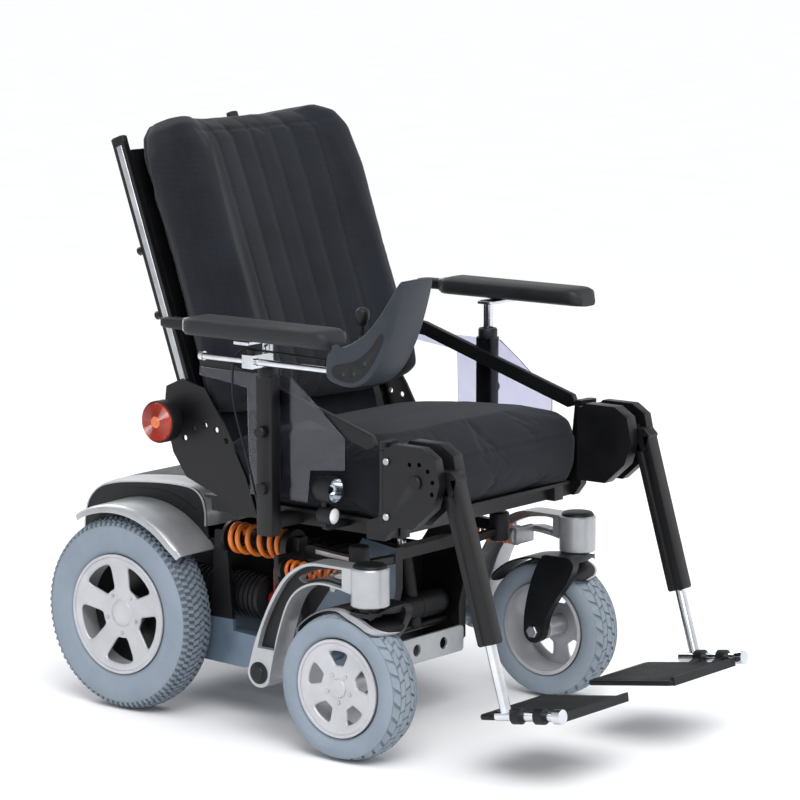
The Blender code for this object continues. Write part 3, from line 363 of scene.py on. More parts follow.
def turn(profile, centre, axis="X", steps=64, start=0.0, end=360.0):
    """Profile of (along axis, radius) points turned about an axis through centre (the other two places)."""
    full = abs(end - start - 360.0) < 1e-6
    count = steps if full else steps + 1
    rings = []
    for i in range(count):
        angle = math.radians(start + (end - start) * i / steps)
        rings.append([PLACE[axis](centre[0] + r * math.cos(angle), centre[1] + r * math.sin(angle), t)
                      for t, r in profile])
    return skin(rings, closed_path=full, caps=not full)


def knob_profile(start, end, radius, edge=0.001):
    """Closed profile of a short round bar with soft edges."""
    return [(start, 0.0001), (start, radius - edge), (start + math.copysign(edge, end - start), radius),
            (end - math.copysign(edge, end - start), radius), (end, radius - edge), (end, 0.0001)]


def sided(side, profile):
    """Profile measured outwards from the chair's middle, on its left or right side."""
    return [(side * out, r) for out, r in profile]


def tube(points, radius, sides=14):
    """Round tube along points; radius may be a function of the fraction along it."""
    path = [Vector(p) for p in points]
    across = None
    rings = []
    for i, here in enumerate(path):
        ahead = (path[min(i + 1, len(path) - 1)] - path[max(i - 1, 0)]).normalized()
        across = ahead.orthogonal() if across is None else across
        across = (across - ahead * across.dot(ahead)).normalized()
        side = ahead.cross(across)
        r = radius(i / (len(path) - 1)) if callable(radius) else radius
        angles = [math.tau * k / sides for k in range(sides)]
        rings.append([here + r * (across * math.cos(t) + side * math.sin(t)) for t in angles])
    return skin(rings)


def join(*shapes):
    """Several shapes in one mesh."""
    verts = []
    faces = []
    for v, f in shapes:
        shift = len(verts)
        verts += v
        faces += [tuple(i + shift for i in face) for face in f]
    return verts, faces


print("a round cornered outline has", len(slab(((0.0, 1.0), (0.0, 1.0)), 0.1)), "points")

# %% [markdown]
# ## Finishing a piece
# Every piece ends the same way: it is shifted from the axle's frame to the CAD frame, its edges are rounded
# by a bevel, and it is tied to its body and its material slot. `softened` does this to a CAD shape that is
# already right, `carve` cuts shapes away, and `made` prints how many pieces a word finds.

# %% Finishing a piece
SAME_PLACE = 0.00002  # vertices closer than this, in metres, are one


def shape_mesh(name, shape, merge=False):
    """Mesh in the CAD frame from (vertices, faces) in the axle's frame, with its normals outward."""
    verts, faces = shape
    mesh = bpy.data.meshes.new(name)
    mesh.from_pydata([tuple(v) for v in verts], [], faces)
    bm = bmesh.new()
    bm.from_mesh(mesh)
    if merge:
        bmesh.ops.remove_doubles(bm, verts=bm.verts, dist=SAME_PLACE)
    bmesh.ops.recalc_face_normals(bm, faces=bm.faces)
    bm.to_mesh(mesh)
    bm.free()
    mesh.transform(Matrix.Translation((0.0, AXLE_Y, 0.0)))
    return mesh


def piece(name, shape, material, body, replaces=(), soft_edge=0.0, sharp=40.0, levels=0, segments=2):
    """Mesh object from (vertices, faces) in the axle's frame, ready to ride on its body."""
    mesh = shape_mesh(name, shape, merge=True)
    return finish_object(name, mesh, material, body, replaces, soft_edge, sharp, levels, segments)


def finish_object(name, mesh, material, body, replaces=(), soft_edge=0.0, sharp=40.0, levels=0,
                  segments=2):
    """Object with its edge rounding, subdivision, material and body."""
    obj = bpy.data.objects.new(name, mesh)
    bpy.context.scene.collection.objects.link(obj)
    mesh.materials.clear()
    for entry in material if isinstance(material, (list, tuple)) else [material]:
        mesh.materials.append(entry)
    mesh.shade_smooth()
    if soft_edge:
        rounding = obj.modifiers.new("rounding", "BEVEL")
        rounding.width = soft_edge
        rounding.segments = segments
        rounding.limit_method = "ANGLE"
        rounding.angle_limit = math.radians(sharp)
    if levels:
        finer = obj.modifiers.new("finer", "SUBSURF")
        finer.levels = levels
        finer.render_levels = levels
    else:
        mesh.set_sharp_from_angle(angle=math.radians(sharp if not soft_edge else 60.0))
    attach(obj, body)
    if replaces:
        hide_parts(*replaces)
    return obj


def softened(node, material, width=0.0012, split=None):
    """A CAD node's shape with its sharp edges rounded; split is a height where faces are cut in two."""
    source = frame["nodes"][node]
    mesh = source.data.copy()
    mesh.transform(source.matrix_world)
    bm = bmesh.new()
    bm.from_mesh(mesh)
    bmesh.ops.remove_doubles(bm, verts=bm.verts, dist=SAME_PLACE)
    bmesh.ops.dissolve_limit(bm, angle_limit=math.radians(1.0), verts=bm.verts, edges=bm.edges)
    if split:
        everything = bm.verts[:] + bm.edges[:] + bm.faces[:]
        bmesh.ops.bisect_plane(bm, geom=everything, plane_co=(0.0, 0.0, split), plane_no=(0.0, 0.0, 1.0))
    bm.to_mesh(mesh)
    bm.free()
    return finish_object(node + "_shape", mesh, material, BODY_OF[node], [node], width, 38.0)


def made(*words):
    """Print how many pieces have each word in their names."""
    names = [obj.name for obj in bpy.data.objects if obj.name not in frame["nodes"]]
    for word in words:
        print(word, "pieces:", sum(word in name for name in names))


def carve(obj, shapes):
    """Take shapes away from an object, and keep the result as its mesh."""
    for shape in shapes:
        tool = bpy.data.objects.new("cutter", shape_mesh("cutter", shape))
        bpy.context.scene.collection.objects.link(tool)
        cut = obj.modifiers.new("cut", "BOOLEAN")
        cut.operation = "DIFFERENCE"
        cut.solver = "EXACT"
        cut.object = tool
        obj.modifiers.move(len(obj.modifiers) - 1, 0)
        with bpy.context.temp_override(object=obj, active_object=obj):
            bpy.ops.object.modifier_apply(modifier="cut")
        bpy.data.objects.remove(tool, do_unlink=True)


# %% [markdown]
# ## Camera
# The chair is seen from its front right, a little above the seat, with a long lens that keeps the wheels
# nearly free of perspective. It has a place, and two angles say which way it looks.

# %% Camera
def add_camera(place, azimuth, elevation, lens):
    """Camera that looks along an azimuth and down by an elevation, both in degrees."""
    data = bpy.data.cameras.new("camera")
    data.lens = lens
    data.sensor_width = 36.0
    data.clip_end = 100.0
    camera = bpy.data.objects.new("camera", data)
    camera.location = place
    camera.rotation_euler = (math.radians(90.0 - elevation), 0.0, math.radians(azimuth))
    bpy.context.scene.collection.objects.link(camera)
    bpy.context.scene.camera = camera


add_camera((-4.8168, -4.2482 + AXLE_Y, 1.5465), -51.567, 8.944, 156.23)
print("camera at", [round(v, 3) for v in bpy.context.scene.camera.location])

# %% [markdown]
# ## Drive tyres
# A pneumatic tyre is a bulged ring, so its wall is a turned profile. The tread is real geometry: rows of
# small blocks that follow the crown, staggered, with longer lugs that wrap over each shoulder.

# %% Tyres
def tyre_shape(side, centre_x, axle, radius, half, bead, blocks, rows, lug_drop):
    """Ring, then tread blocks. Returns the shape and how many of its faces belong to the ring."""
    base = radius - 0.0035

    def crown(x):
        return radius - lug_drop * (abs(x) / half) ** 2.6

    wall = [(0.78, bead), (0.93, bead + 0.14 * (radius - bead)), (1.0, bead + 0.42 * (radius - bead)),
            (0.975, bead + 0.64 * (radius - bead)), (0.88, bead + 0.82 * (radius - bead)),
            (0.70, crown(0.70 * half) - 0.0035), (0.45, crown(0.45 * half) - 0.0035), (0.2, base)]
    half_profile = [(x * half, r) for x, r in wall]
    profile = smooth(half_profile + [(-x, r) for x, r in reversed(half_profile)], 3)
    profile = [(side * (centre_x + p[0]), min(p[1], base)) for p in profile]
    profile.append((profile[-1][0] * 0.5 + profile[0][0] * 0.5, bead))
    ring = turn(profile, axle, "X", 96)
    parts = [ring]
    for i in range(blocks):
        for x0, x1, length, skew, phase in rows:
            angle = math.tau * (i + phase) / blocks
            span = math.tau / blocks * length / 2
            verts = []
            for x, lean in ((x0, -skew), (x1, skew)):
                for turn_by in (-span, span):
                    for lift in (-0.0055, 0.0):
                        r = crown(x * half) + lift
                        a = angle + turn_by * (0.86 if lift == 0.0 else 1.0) + lean * span
                        verts.append((side * (centre_x + x * half),
                                      axle[0] + r * math.cos(a), axle[1] + r * math.sin(a)))
            faces = [(0, 1, 3, 2), (4, 6, 7, 5), (1, 5, 7, 3), (0, 2, 6, 4), (0, 4, 5, 1), (2, 3, 7, 6)]
            parts.append((verts, faces))
    return join(*parts), len(ring[1])


def colour_tread(obj, ring_faces, groove, axle):
    """Ring faces farther out than groove, between the blocks, take the third material, a darker painted
    shade; block faces take the second, tread rubber.
    """
    for face in obj.data.polygons:
        if face.index >= ring_faces:
            face.material_index = 1
        else:
            reach = math.hypot(face.center.y - AXLE_Y - axle[0], face.center.z - axle[1])
            face.material_index = 2 if reach > groove else 0


def build_tyre(node, side, centre_x, axle, radius, half, bead, blocks, rows, drop, materials, groove):
    shape, ring_faces = tyre_shape(side, centre_x, axle, radius, half, bead, blocks, rows, drop)
    mesh = shape_mesh(node, shape)
    obj = finish_object(node + "_rubber", mesh, materials, BODY_OF[node], [node])
    colour_tread(obj, ring_faces, groove, axle)


DRIVE_AXLE = (0.0, DRIVE_R)
CASTOR_AXLE = (CASTOR_Y, CASTOR_R)
DRIVE_ROWS = [(-0.12, 0.12, 0.62, 0.5, 0.0), (-0.44, -0.18, 0.6, -0.5, 0.5), (0.18, 0.44, 0.6, 0.5, 0.5),
              (-0.72, -0.50, 0.55, 0.2, 0.0), (0.50, 0.72, 0.55, -0.2, 0.0),
              (-0.93, -0.76, 0.5, 0.0, 0.5), (0.76, 0.93, 0.5, 0.0, 0.5)]
CASTOR_ROWS = [(-0.16, 0.16, 0.94, 0.2, 0.0), (-0.44, -0.20, 0.94, -0.2, 0.5), (0.20, 0.44, 0.94, 0.2, 0.5),
               (-0.84, -0.48, 0.86, 0.5, 0.0), (0.48, 0.84, 0.86, -0.5, 0.0)]
for side_name, side in SIDES.items():
    build_tyre("drive_tyre_" + side_name, side, DRIVE_X, DRIVE_AXLE, DRIVE_R, 0.0378, 0.1115, 84, DRIVE_ROWS,
               0.0125, [side_rubber, dark_tread_and_groove_shade, groove_shade_rubber], 0.1640)
    build_tyre("castor_tyre_" + side_name, side, CASTOR_X, CASTOR_AXLE, CASTOR_R, 0.0388, 0.0878, 30,
               CASTOR_ROWS,
               0.0135, [side_rubber, castor_tread, dark_tread_and_groove_shade], 0.1215)
made("tyre")

# %% [markdown]
# ## Cast rims
# The rims are one casting: a barrel that seats the tyre, and a dished face with five windows. The face
# is a polar grid whose lines follow the windows' sides; the window cells are left out, the sheet is
# given a thickness, and one subdivision rounds every edge as a casting's would be. A black disc inside
# each drive rim, behind the windows, is painted shade: it makes the windows look dark.

# %% Rims
def rim_face(side, outer_x, axle, radius, window_in, window_out, wide_in, wide_out, first, dish):
    """Dished disc with five windows, as a grid in polar coordinates."""
    radii = [0.10, 0.22, 0.32, window_in - 0.05, window_in, (window_in + window_out) / 2, window_out,
             (window_out + 1.0) / 2, 1.0]
    across = [-1.0, -0.5, 0.0, 0.5, 1.0]
    spoke = [0.25, 0.5, 0.75]
    verts = []
    faces = []
    columns = 5 * (len(across) + len(spoke))
    for rho in radii:
        mixed = min(max((rho - window_in) / (window_out - window_in), 0.0), 1.0)
        wide = wide_in + (wide_out - wide_in) * mixed
        depth = dish * (1.0 - min(rho / 0.95, 1.0) ** 2) + (0.0015 if 0.3 < rho < 0.9 else 0.0)
        for sector in range(5):
            turns = [s * wide for s in across]
            turns += [wide + s * (72.0 - 2 * wide) for s in spoke]
            for t in turns:
                a = math.radians(first + 72.0 * sector + t)
                verts.append((side * (outer_x - depth), axle[0] + rho * radius * math.cos(a),
                              axle[1] + rho * radius * math.sin(a)))
    for row in range(len(radii) - 1):
        in_window = window_in <= radii[row] < window_out
        for col in range(columns):
            if in_window and col % 8 < 4:
                continue
            nxt = (col + 1) % columns
            faces.append((row * columns + col, row * columns + nxt, (row + 1) * columns + nxt,
                          (row + 1) * columns + col))
    faces.append(tuple(range(columns)))
    return verts, faces


def build_rim(node, side, axle, reach, radius, window, hub, dish, nuts, shade_disc_radius):
    inner, outer = reach
    face = rim_face(side, outer - 0.004, axle, radius - 0.004, *window, dish)
    obj = piece(node + "_face", face, rim_lacquer, BODY_OF[node], [node])
    solid = obj.modifiers.new("thickness", "SOLIDIFY")
    solid.thickness = 0.0075
    solid.offset = 0.0
    finer = obj.modifiers.new("finer", "SUBSURF")
    finer.levels = 2
    finer.render_levels = 2
    lip = [(inner, radius - 0.007), (inner, radius), (inner + 0.004, radius - 0.0015),
           (outer - 0.006, radius - 0.0015),
           (outer - 0.002, radius), (outer, radius - 0.001), (outer, radius - 0.0055),
           (outer - 0.004, radius - 0.0075),
           (outer - 0.012, radius - 0.0085), (inner + 0.006, radius - 0.0075)]
    shapes = [turn(sided(side, lip), axle, "X", 80)]
    shapes.append(turn(sided(side, knob_profile(inner + 0.004, outer - dish - 0.004, hub)), axle,
                       "X", 40))
    piece(node + "_barrel", join(*shapes), rim_lacquer, BODY_OF[node], [node])
    # Painted shade: a black disc close behind the drive rim's windows darkens them.
    if shade_disc_radius:
        shade_disc = knob_profile(inner + 0.012, inner + 0.020, shade_disc_radius, 0.002)
        piece(node + "_drum", turn(sided(side, shade_disc), axle, "X", 64), black_steel,
              BODY_OF[node])
    cap = [(outer - dish - 0.006, 0.0001), (outer - dish - 0.006, hub * 0.86),
           (outer - dish + 0.0005, hub * 0.86),
           (outer - dish + 0.003, hub * 0.78), (outer - dish + 0.0045, hub * 0.4),
           (outer - dish + 0.0048, 0.0001)]
    piece(node + "_cap", turn(sided(side, cap), axle, "X", 40), rim_lacquer, BODY_OF[node])
    small = []
    for k in range(nuts):
        place = arc(axle, hub * 1.28, 90 + 360 / nuts * (k + 0.5), 90 + 360 / nuts * (k + 0.5), 1)[0]
        small.append(turn(sided(side, knob_profile(outer - dish - 0.004, outer - dish + 0.0022, 0.0032,
                                                   0.0006)), place, "X", 14))
    piece(node + "_nuts", join(*small), zinc, BODY_OF[node])


for side_name, side in SIDES.items():
    build_rim("drive_rim_" + side_name, side, DRIVE_AXLE, (0.2265, 0.2925), 0.1107,
              (0.44, 0.87, 14.5, 23.0, -90.0), 0.029, 0.013, 5, 0.0987)
    build_rim("castor_rim_" + side_name, side, CASTOR_AXLE, (0.2640, 0.3350), 0.0867,
              (0.48, 0.80, 12.5, 19.5, 90.0), 0.020, 0.007, 5, 0.0)
made("rim")

# %% [markdown]
# ## Swing arms and motors of the drive wheels
# Each arm is a welded bar in the base colour. The motor is turned aluminium painted black, with cooling
# ribs, and its gearbox is a soft-edged casting that carries the wheel's shaft.

# %% Drive units
MOTOR_Z = 0.222
ARM_PAINT_TOP = 0.185  # the arm is blue below this height and black above it
for side_name, side in SIDES.items():
    arm_body = "drive_arm_" + side_name
    node = "drive_motor_" + side_name
    arm = softened("drive_arm_" + side_name, [blue_paint, black_steel], 0.0025, ARM_PAINT_TOP)
    for face in arm.data.polygons:
        face.material_index = 1 if face.center.z > ARM_PAINT_TOP else 0
    gearbox = extrude("X", slab(((-0.0622, 0.056), (0.122, 0.236)), 0.022), side * 0.150, side * 0.206)
    piece(node + "_gearbox", gearbox, black_abs, arm_body, [node], 0.005, segments=3)
    ribs = []
    for i in range(17):
        y = -0.066 - i * 0.0110
        ribs += [(y, 0.0418), (y - 0.0055, 0.0418), (y - 0.0065, 0.0395), (y - 0.0100, 0.0395)]
    profile = [(-0.045, 0.0001), (-0.045, 0.040)] + ribs + [(-0.2575, 0.0390), (-0.2600, 0.034),
                                                            (-0.2610, 0.0001)]
    motor = turn(profile, (side * 0.163, MOTOR_Z), "Y", 48)
    flange = turn(sided(side, knob_profile(0.200, 0.2165, 0.034, 0.002)), DRIVE_AXLE, "X", 48)
    piece(node + "_can", join(motor, flange), black_steel, arm_body, [node])
    shaft = turn(sided(side, knob_profile(0.205, 0.284, 0.012, 0.001)), DRIVE_AXLE, "X", 32)
    piece(node + "_shaft", shaft, zinc, arm_body, [node])
    softened("brake_lever_" + side_name, red_plastic, 0.0015)
made("drive_motor", "brake_lever")

# %% [markdown]
# ## Coil springs
# A coil spring is a round wire on a helix. The wire's ends close up and lie flat against the seats, so
# the pitch is smaller over the last three quarters of a turn at each end.

# %% Springs
def helix(centre, radius, start, end, turns, steps=28):
    """Points of a spring along Y whose end turns close up."""
    points = []
    count = turns * steps
    for i in range(count + 1):
        t = i / count
        eased = t - math.sin(math.tau * t) / math.tau * 0.35
        angle = math.tau * turns * t
        points.append((centre[0] + radius * math.cos(angle), start + (end - start) * eased,
                       centre[1] + radius * math.sin(angle)))
    return points


SPRING_X, SPRING_Z = 0.200, 0.333
SMALL_SPRING_X, SMALL_SPRING_Z = 0.250, 0.303
for side_name, side in SIDES.items():
    coil = tube(helix((side * SPRING_X, SPRING_Z), 0.0242, -0.2090, -0.3320, 6), 0.0048, 12)
    piece("drive_spring_wire_" + side_name, coil, orange_coat, "base",
          ["drive_spring_" + side_name])
    damper = [(-0.3360, 0.0001), (-0.3360, 0.0165), (-0.2500, 0.0165), (-0.2480, 0.0150), (-0.2480, 0.0001)]
    piece("damper_" + side_name, turn(damper, (side * SPRING_X, SPRING_Z), "Y", 32), black_steel, "base")
    coil = tube(helix((side * SMALL_SPRING_X, SMALL_SPRING_Z), 0.0150, -0.3760, -0.4945, 7, 20), 0.0034, 10)
    piece("castor_spring_wire_" + side_name, coil, orange_coat, "base",
          ["castor_spring_" + side_name])
made("spring_wire", "damper")

# %% [markdown]
# ## Castor arms
# The castor arm is a die casting shaped like a swan's neck. Two bright flanges follow its edges, and the
# web between them is sunk; a black plate laid in it is painted shade. A window near the head lets the small
# spring show. The round head takes the fork's stem, under a black plastic cap.

# %% Castor arms
ARM_OUTER = [(-0.346, 0.131), (-0.352, 0.150), (-0.362, 0.182), (-0.374, 0.212), (-0.392, 0.250),
             (-0.411, 0.283),
             (-0.434, 0.312), (-0.462, 0.332), (-0.493, 0.3425), (-0.540, 0.3435), (-0.585, 0.343)]
ARM_INNER = [(-0.585, 0.297), (-0.556, 0.303), (-0.520, 0.3065), (-0.494, 0.303), (-0.470, 0.293),
             (-0.450, 0.277), (-0.436, 0.255), (-0.424, 0.224), (-0.413, 0.190), (-0.402, 0.150),
             (-0.396, 0.120)]
POCKET_OUTER = [(-0.3690, 0.176), (-0.380, 0.211), (-0.398, 0.249), (-0.416, 0.279), (-0.437, 0.3065),
                (-0.464, 0.3265), (-0.495, 0.337), (-0.560, 0.3385)]
POCKET_INNER = [(-0.560, 0.3065), (-0.520, 0.3105), (-0.492, 0.307), (-0.468, 0.297), (-0.448, 0.2805),
                (-0.433, 0.257), (-0.421, 0.226), (-0.411, 0.194), (-0.407, 0.176)]
WINDOW = [(-0.452, 0.3085), (-0.470, 0.3190), (-0.500, 0.3300), (-0.550, 0.3335), (-0.550, 0.3120),
          (-0.518, 0.3150),
          (-0.488, 0.3110), (-0.466, 0.3010)]
STEM = (0.304, -0.602)
CASTOR_PIVOT = (-0.373, 0.131)
for side_name, side in SIDES.items():
    node = "castor_arm_" + side_name
    neck = smooth(ARM_OUTER, 4) + smooth(ARM_INNER, 4)
    neck += [Vector(p) for p in arc(CASTOR_PIVOT, 0.0265, 208, 352, 12)]
    arm = piece(node + "_casting", extrude("X", neck, side * 0.2835, side * 0.3300), silver_paint, node,
                [node], 0.003, 30.0, segments=3)
    pocket = smooth(POCKET_OUTER, 3) + smooth(POCKET_INNER, 3)
    carve(arm, [extrude("X", pocket, side * 0.3160, side * 0.3400),
                extrude("X", pocket, side * 0.2700, side * 0.2960),
                extrude("X", smooth(WINDOW, 3, closed=True), side * 0.26, side * 0.35)])
    # Painted shade: a black plate just proud of the sunk web darkens the outer pocket of the silver casting.
    web = piece(node + "_web", extrude("X", pocket, side * 0.3150, side * 0.3175), black_abs, node)
    carve(web, [extrude("X", smooth(WINDOW, 3, closed=True), side * 0.26, side * 0.35)])
    head = [(0.2778, 0.0001), (0.2778, 0.0315), (0.2800, 0.0338), (0.3420, 0.0338), (0.3447, 0.0315),
            (0.3447, 0.0001)]
    piece(node + "_head", turn(head, (side * STEM[0], STEM[1]), "Z", 56), silver_paint, node,
          [node])
    cap = [(0.3440, 0.0001), (0.3440, 0.0300), (0.3475, 0.0296), (0.3505, 0.0265), (0.3518, 0.0180),
           (0.3520, 0.0001)]
    piece(node + "_cap", turn(cap, (side * STEM[0], STEM[1]), "Z", 48), black_abs, node)
    button = [(side * 0.326, 0.0001), (side * 0.326, 0.0200), (side * 0.3315, 0.0196),
              (side * 0.3335, 0.0170),
              (side * 0.3340, 0.0001)]
    piece(node + "_pivot_cap", turn(button, CASTOR_PIVOT, "X", 40), black_abs, node)
    lug = extrude("X", slab(((-0.5125, -0.5015), (0.287, 0.319)), 0.004), side * 0.236, side * 0.290)
    seat = turn(knob_profile(-0.506, -0.4975, 0.019), (side * SMALL_SPRING_X, SMALL_SPRING_Z), "Y", 32)
    piece(node + "_spring_seat", join(lug, seat), silver_paint, node)
made("castor_arm")

# %% [markdown]
# ## Castor forks
# The fork has one leg, on the wheel's inner side. It is forged, powder coated black, and sweeps over the
# tyre. Below it a silver mudguard follows the tyre and widens towards the front.

# %% Castor forks
LEG = [(-0.634, 0.2755), (-0.641, 0.262), (-0.628, 0.232), (-0.602, 0.196), (-0.582, 0.162), (-0.5735, 0.130)]
LEG_REAR = [(-0.5295, 0.130), (-0.5310, 0.160), (-0.5400, 0.205), (-0.5550, 0.248), (-0.5720, 0.2755)]
for side_name, side in SIDES.items():
    node = "castor_fork_" + side_name
    body = BODY_OF[node]
    outline = smooth(LEG, 4) + [Vector(p) for p in arc(CASTOR_AXLE, 0.0215, 180, 360,
                                                       16)] + smooth(LEG_REAR, 4)
    piece(node + "_leg", extrude("X", outline, side * 0.236, side * 0.2545), black_steel, body,
                [node], 0.004, 40.0, segments=3)
    rings = []
    for i in range(17):
        t = i / 16
        x = 0.2365 + 0.0945 * t
        swell = math.sin(math.pi * min(1.0, 0.15 + 0.85 * t)) ** 0.6
        high = 0.2772 - 0.016 * max(0.0, t - 0.45) ** 2 / 0.3
        low = 0.2690 - 0.0030 * swell - 0.004 * (1.0 - t)
        front = -0.622 - 0.014 * swell
        rear = -0.580 + 0.008 * swell
        rings.append([(side * x, p[0], p[1]) for p in slab(((front, rear), (low, high)), 0.0034, 3)])
    boss = turn(knob_profile(0.2600, 0.2772, 0.022, 0.002), (side * STEM[0], STEM[1]), "Z", 40)
    piece(node + "_crown", join(skin(rings), boss), black_steel, body, [node], 0.001)
    bolt = turn(sided(side, knob_profile(0.2300, 0.2375, 0.012, 0.0015)), CASTOR_AXLE, "X", 6)
    axle = turn(sided(side, knob_profile(0.2370, 0.3260, 0.008)), CASTOR_AXLE, "X", 24)
    piece(node + "_axle", join(bolt, axle), zinc, body)
    rings = []
    for i in range(49):
        t = i / 48
        a = math.radians(34 + 98 * t)
        flare = 0.5 + 0.5 * math.tanh((t - 0.60) * 10)
        tip = max(0.0, (t - 0.86) / 0.14)
        heel = max(0.0, (0.12 - t) / 0.12)
        round_off = math.sqrt(max(0.0, 1.0 - max(tip, heel) ** 2))
        inner_x = 0.2430 + 0.030 * (1.0 - round_off)
        outer_x = inner_x + 0.010 + (0.068 + 0.0160 * flare) * round_off
        lip = 0.0075 * flare * round_off
        section = [(inner_x, 0.1346), (inner_x, 0.1378), (outer_x - 0.010, 0.1380), (outer_x - 0.003, 0.1366),
                   (outer_x, 0.1350 - lip), (outer_x - 0.0022, 0.1340 - lip), (outer_x - 0.006, 0.1346)]
        rings.append([(side * x, CASTOR_AXLE[0] + r * math.cos(a), CASTOR_AXLE[1] + r * math.sin(a))
                      for x, r in section])
    guard = piece(node + "_mudguard", skin(rings), [silver_paint, black_steel], body, [node],
                  0.0006)
    for face in guard.data.polygons:
        face.material_index = 1 if abs(face.center.x) < 0.290 else 0
made("castor_fork")

# %% [markdown]
# ## Rear cover
# The cover is vacuum formed and sprayed silver. Its deck is one curved sheet, its sides drop to two
# mudguards, and a black lid closes the battery bay. The deck is made as a skin over bent ribs, so its
# corners can roll over instead of meeting in an edge.

# %% Rear cover
DECK = [(0.172, 0.298), (0.169, 0.330), (0.158, 0.365), (0.130, 0.392), (0.085, 0.406), (0.030, 0.4135),
        (-0.030, 0.4185), (-0.085, 0.4195), (-0.120, 0.4150), (-0.140, 0.4000), (-0.1485, 0.375),
        (-0.149, 0.346)]
rib = smooth(DECK, 5)
deck_middle = Vector((0.010, 0.330))
rings = []
for i in range(33):
    x = -0.205 + 0.410 * i / 32
    edge = max(0.0, (abs(x) - 0.165) / 0.040)
    shrink = 1.0 - 0.055 * edge ** 2.2
    outer = [deck_middle + (p - deck_middle) * shrink for p in rib]
    inner = [deck_middle + (p - deck_middle) * (shrink - 0.022) for p in reversed(rib)]
    rings.append([(x, p[0], p[1]) for p in outer + inner])
piece("rear_cover_deck", skin(rings), silver_paint, "base", ["base_shroud"], 0.0)
for side_name, side in SIDES.items():
    wall_top = [deck_middle + (p - deck_middle) * 0.952 for p in rib]
    arch = [Vector(p) for p in arc(DRIVE_AXLE, 0.1990, 138, 38, 24)]
    piece("rear_cover_wall_" + side_name, extrude("X", wall_top + arch, side * 0.1995, side * 0.2040),
          black_abs, "base", [], 0.0015)
    section = [(0.2000, 0.1990), (0.2000, 0.2035), (0.2060, 0.2045), (0.2500, 0.2030), (0.2850, 0.2022),
               (0.2950, 0.2005),
               (0.2990, 0.1960), (0.2995, 0.1880), (0.2975, 0.1880), (0.2965, 0.1950), (0.2930, 0.1980),
               (0.2500, 0.1992)]
    rings = []
    for i in range(49):
        t = i / 48
        a = math.radians(60 + 81 * t)
        taper = min(1.0, 6.0 * (1.0 - t) + 0.35, 6.0 * t + 0.55)
        rings.append([(side * (0.2000 + (x - 0.2000) * (0.90 + 0.10 * taper)), r * math.cos(a),
                       DRIVE_R + r * math.sin(a)) for x, r in section])
    piece("mudguard_" + side_name, skin(rings), silver_paint, "base", [], 0.0006)
    # Painted shade: a flat black sheet on each side of the deck stands for the shade inside a recess.
    panel = extrude("X", smooth([(-0.115, 0.372), (-0.050, 0.398), (0.045, 0.394), (0.088, 0.366),
                                 (0.030, 0.384),
                                 (-0.050, 0.386)], 4, closed=True), side * 0.2038, side * 0.2050)
    piece("cover_recess_" + side_name, panel, black_abs, "base")
rings = []
for i in range(25):
    x = -0.150 + 0.300 * i / 24
    fade = 1.0 - (abs(x) / 0.150) ** 6
    outer = [deck_middle + (p - deck_middle) * (1.0 + 0.014 * fade) for p in rib[16:44]]
    inner = [deck_middle + (p - deck_middle) * 0.985 for p in reversed(rib[16:44])]
    rings.append([(x, p[0], p[1]) for p in outer + inner])
piece("battery_lid", skin(rings), black_abs, "base")
made("rear_cover", "mudguard")

# %% [markdown]
# ## Chassis, batteries and power module
# The tray and nose are folded and welded steel, so their own CAD shapes are right and only their edges
# need the small radius a folded sheet has. The plate with two holes under the nose is for a tie-down.

# %% Chassis
chassis = softened("chassis_frame", [blue_paint, black_steel], 0.0015, 0.190)
for face in chassis.data.polygons:
    y = face.center.y - AXLE_Y
    outward = face.normal.x * math.copysign(1.0, face.center.x)
    nose = y < -0.396 and outward < 0.5
    upper = face.center.z > 0.200 and y > -0.400
    face.material_index = 1 if nose or upper else 0
softened("front_plate", silver_paint, 0.0012)
softened("battery_front", case_plastic, 0.0025)
softened("battery_rear", case_plastic, 0.0025)
softened("power_module", black_abs, 0.0025)
made("chassis", "battery")

# %% [markdown]
# ## Trim on the chassis
# A short black bar runs forward from each drive spring, with a bright strip on its outer face. Round
# headed bolts hold the nose plates together.

# %% Chassis trim
for side_name, side in SIDES.items():
    for x, y, z in ((0.1125, -0.478, 0.300), (0.1125, -0.478, 0.230), (0.1125, -0.440, 0.130),
                    (0.1125, -0.482, 0.165),
                    (0.1160, -0.380, 0.150), (0.1160, -0.350, 0.200)):
        head = turn(sided(side, knob_profile(x - 0.001, x + 0.0035, 0.0050, 0.0008)), (y, z), "X", 20)
        piece(f"nose_bolt_{side_name}_{round(-y * 1000)}_{round(z * 1000)}", head, zinc, "base")
    bar = extrude("X", [(-0.380, 0.318), (-0.380, 0.340), (-0.392, 0.344), (-0.500, 0.336), (-0.504, 0.326),
                        (-0.500, 0.318)], side * 0.196, side * 0.2125)
    stay = extrude("Y", [(side * 0.111, 0.306), (side * 0.205, 0.312), (side * 0.205, 0.326),
                         (side * 0.111, 0.322)],
                   -0.503, -0.489)
    piece("suspension_bar_" + side_name, join(bar, stay), black_steel, "base", [], 0.002)
    slot_shape = [(-0.405, 0.3375), (-0.405, 0.3285), (-0.486, 0.3245), (-0.486, 0.3320)]
    piece("bar_strip_" + side_name, extrude("X", slot_shape, side * 0.2120, side * 0.2138), zinc, "base",
          [], 0.001)
    post = [(0.3010, 0.0001), (0.3010, 0.0165), (0.3040, 0.0185), (0.3500, 0.0185), (0.3530, 0.0170),
            (0.3545, 0.0140),
            (0.3550, 0.0001)]
    piece("bracket_post_" + side_name, turn(post, (side * 0.204, -0.497), "Z", 40), case_plastic, "base")
    ring = turn(sided(side, knob_profile(0.3310, 0.3365, 0.0130, 0.002)), CASTOR_PIVOT, "X", 32)
    piece("pivot_nut_" + side_name, ring, black_steel, "base", [], 0.0)
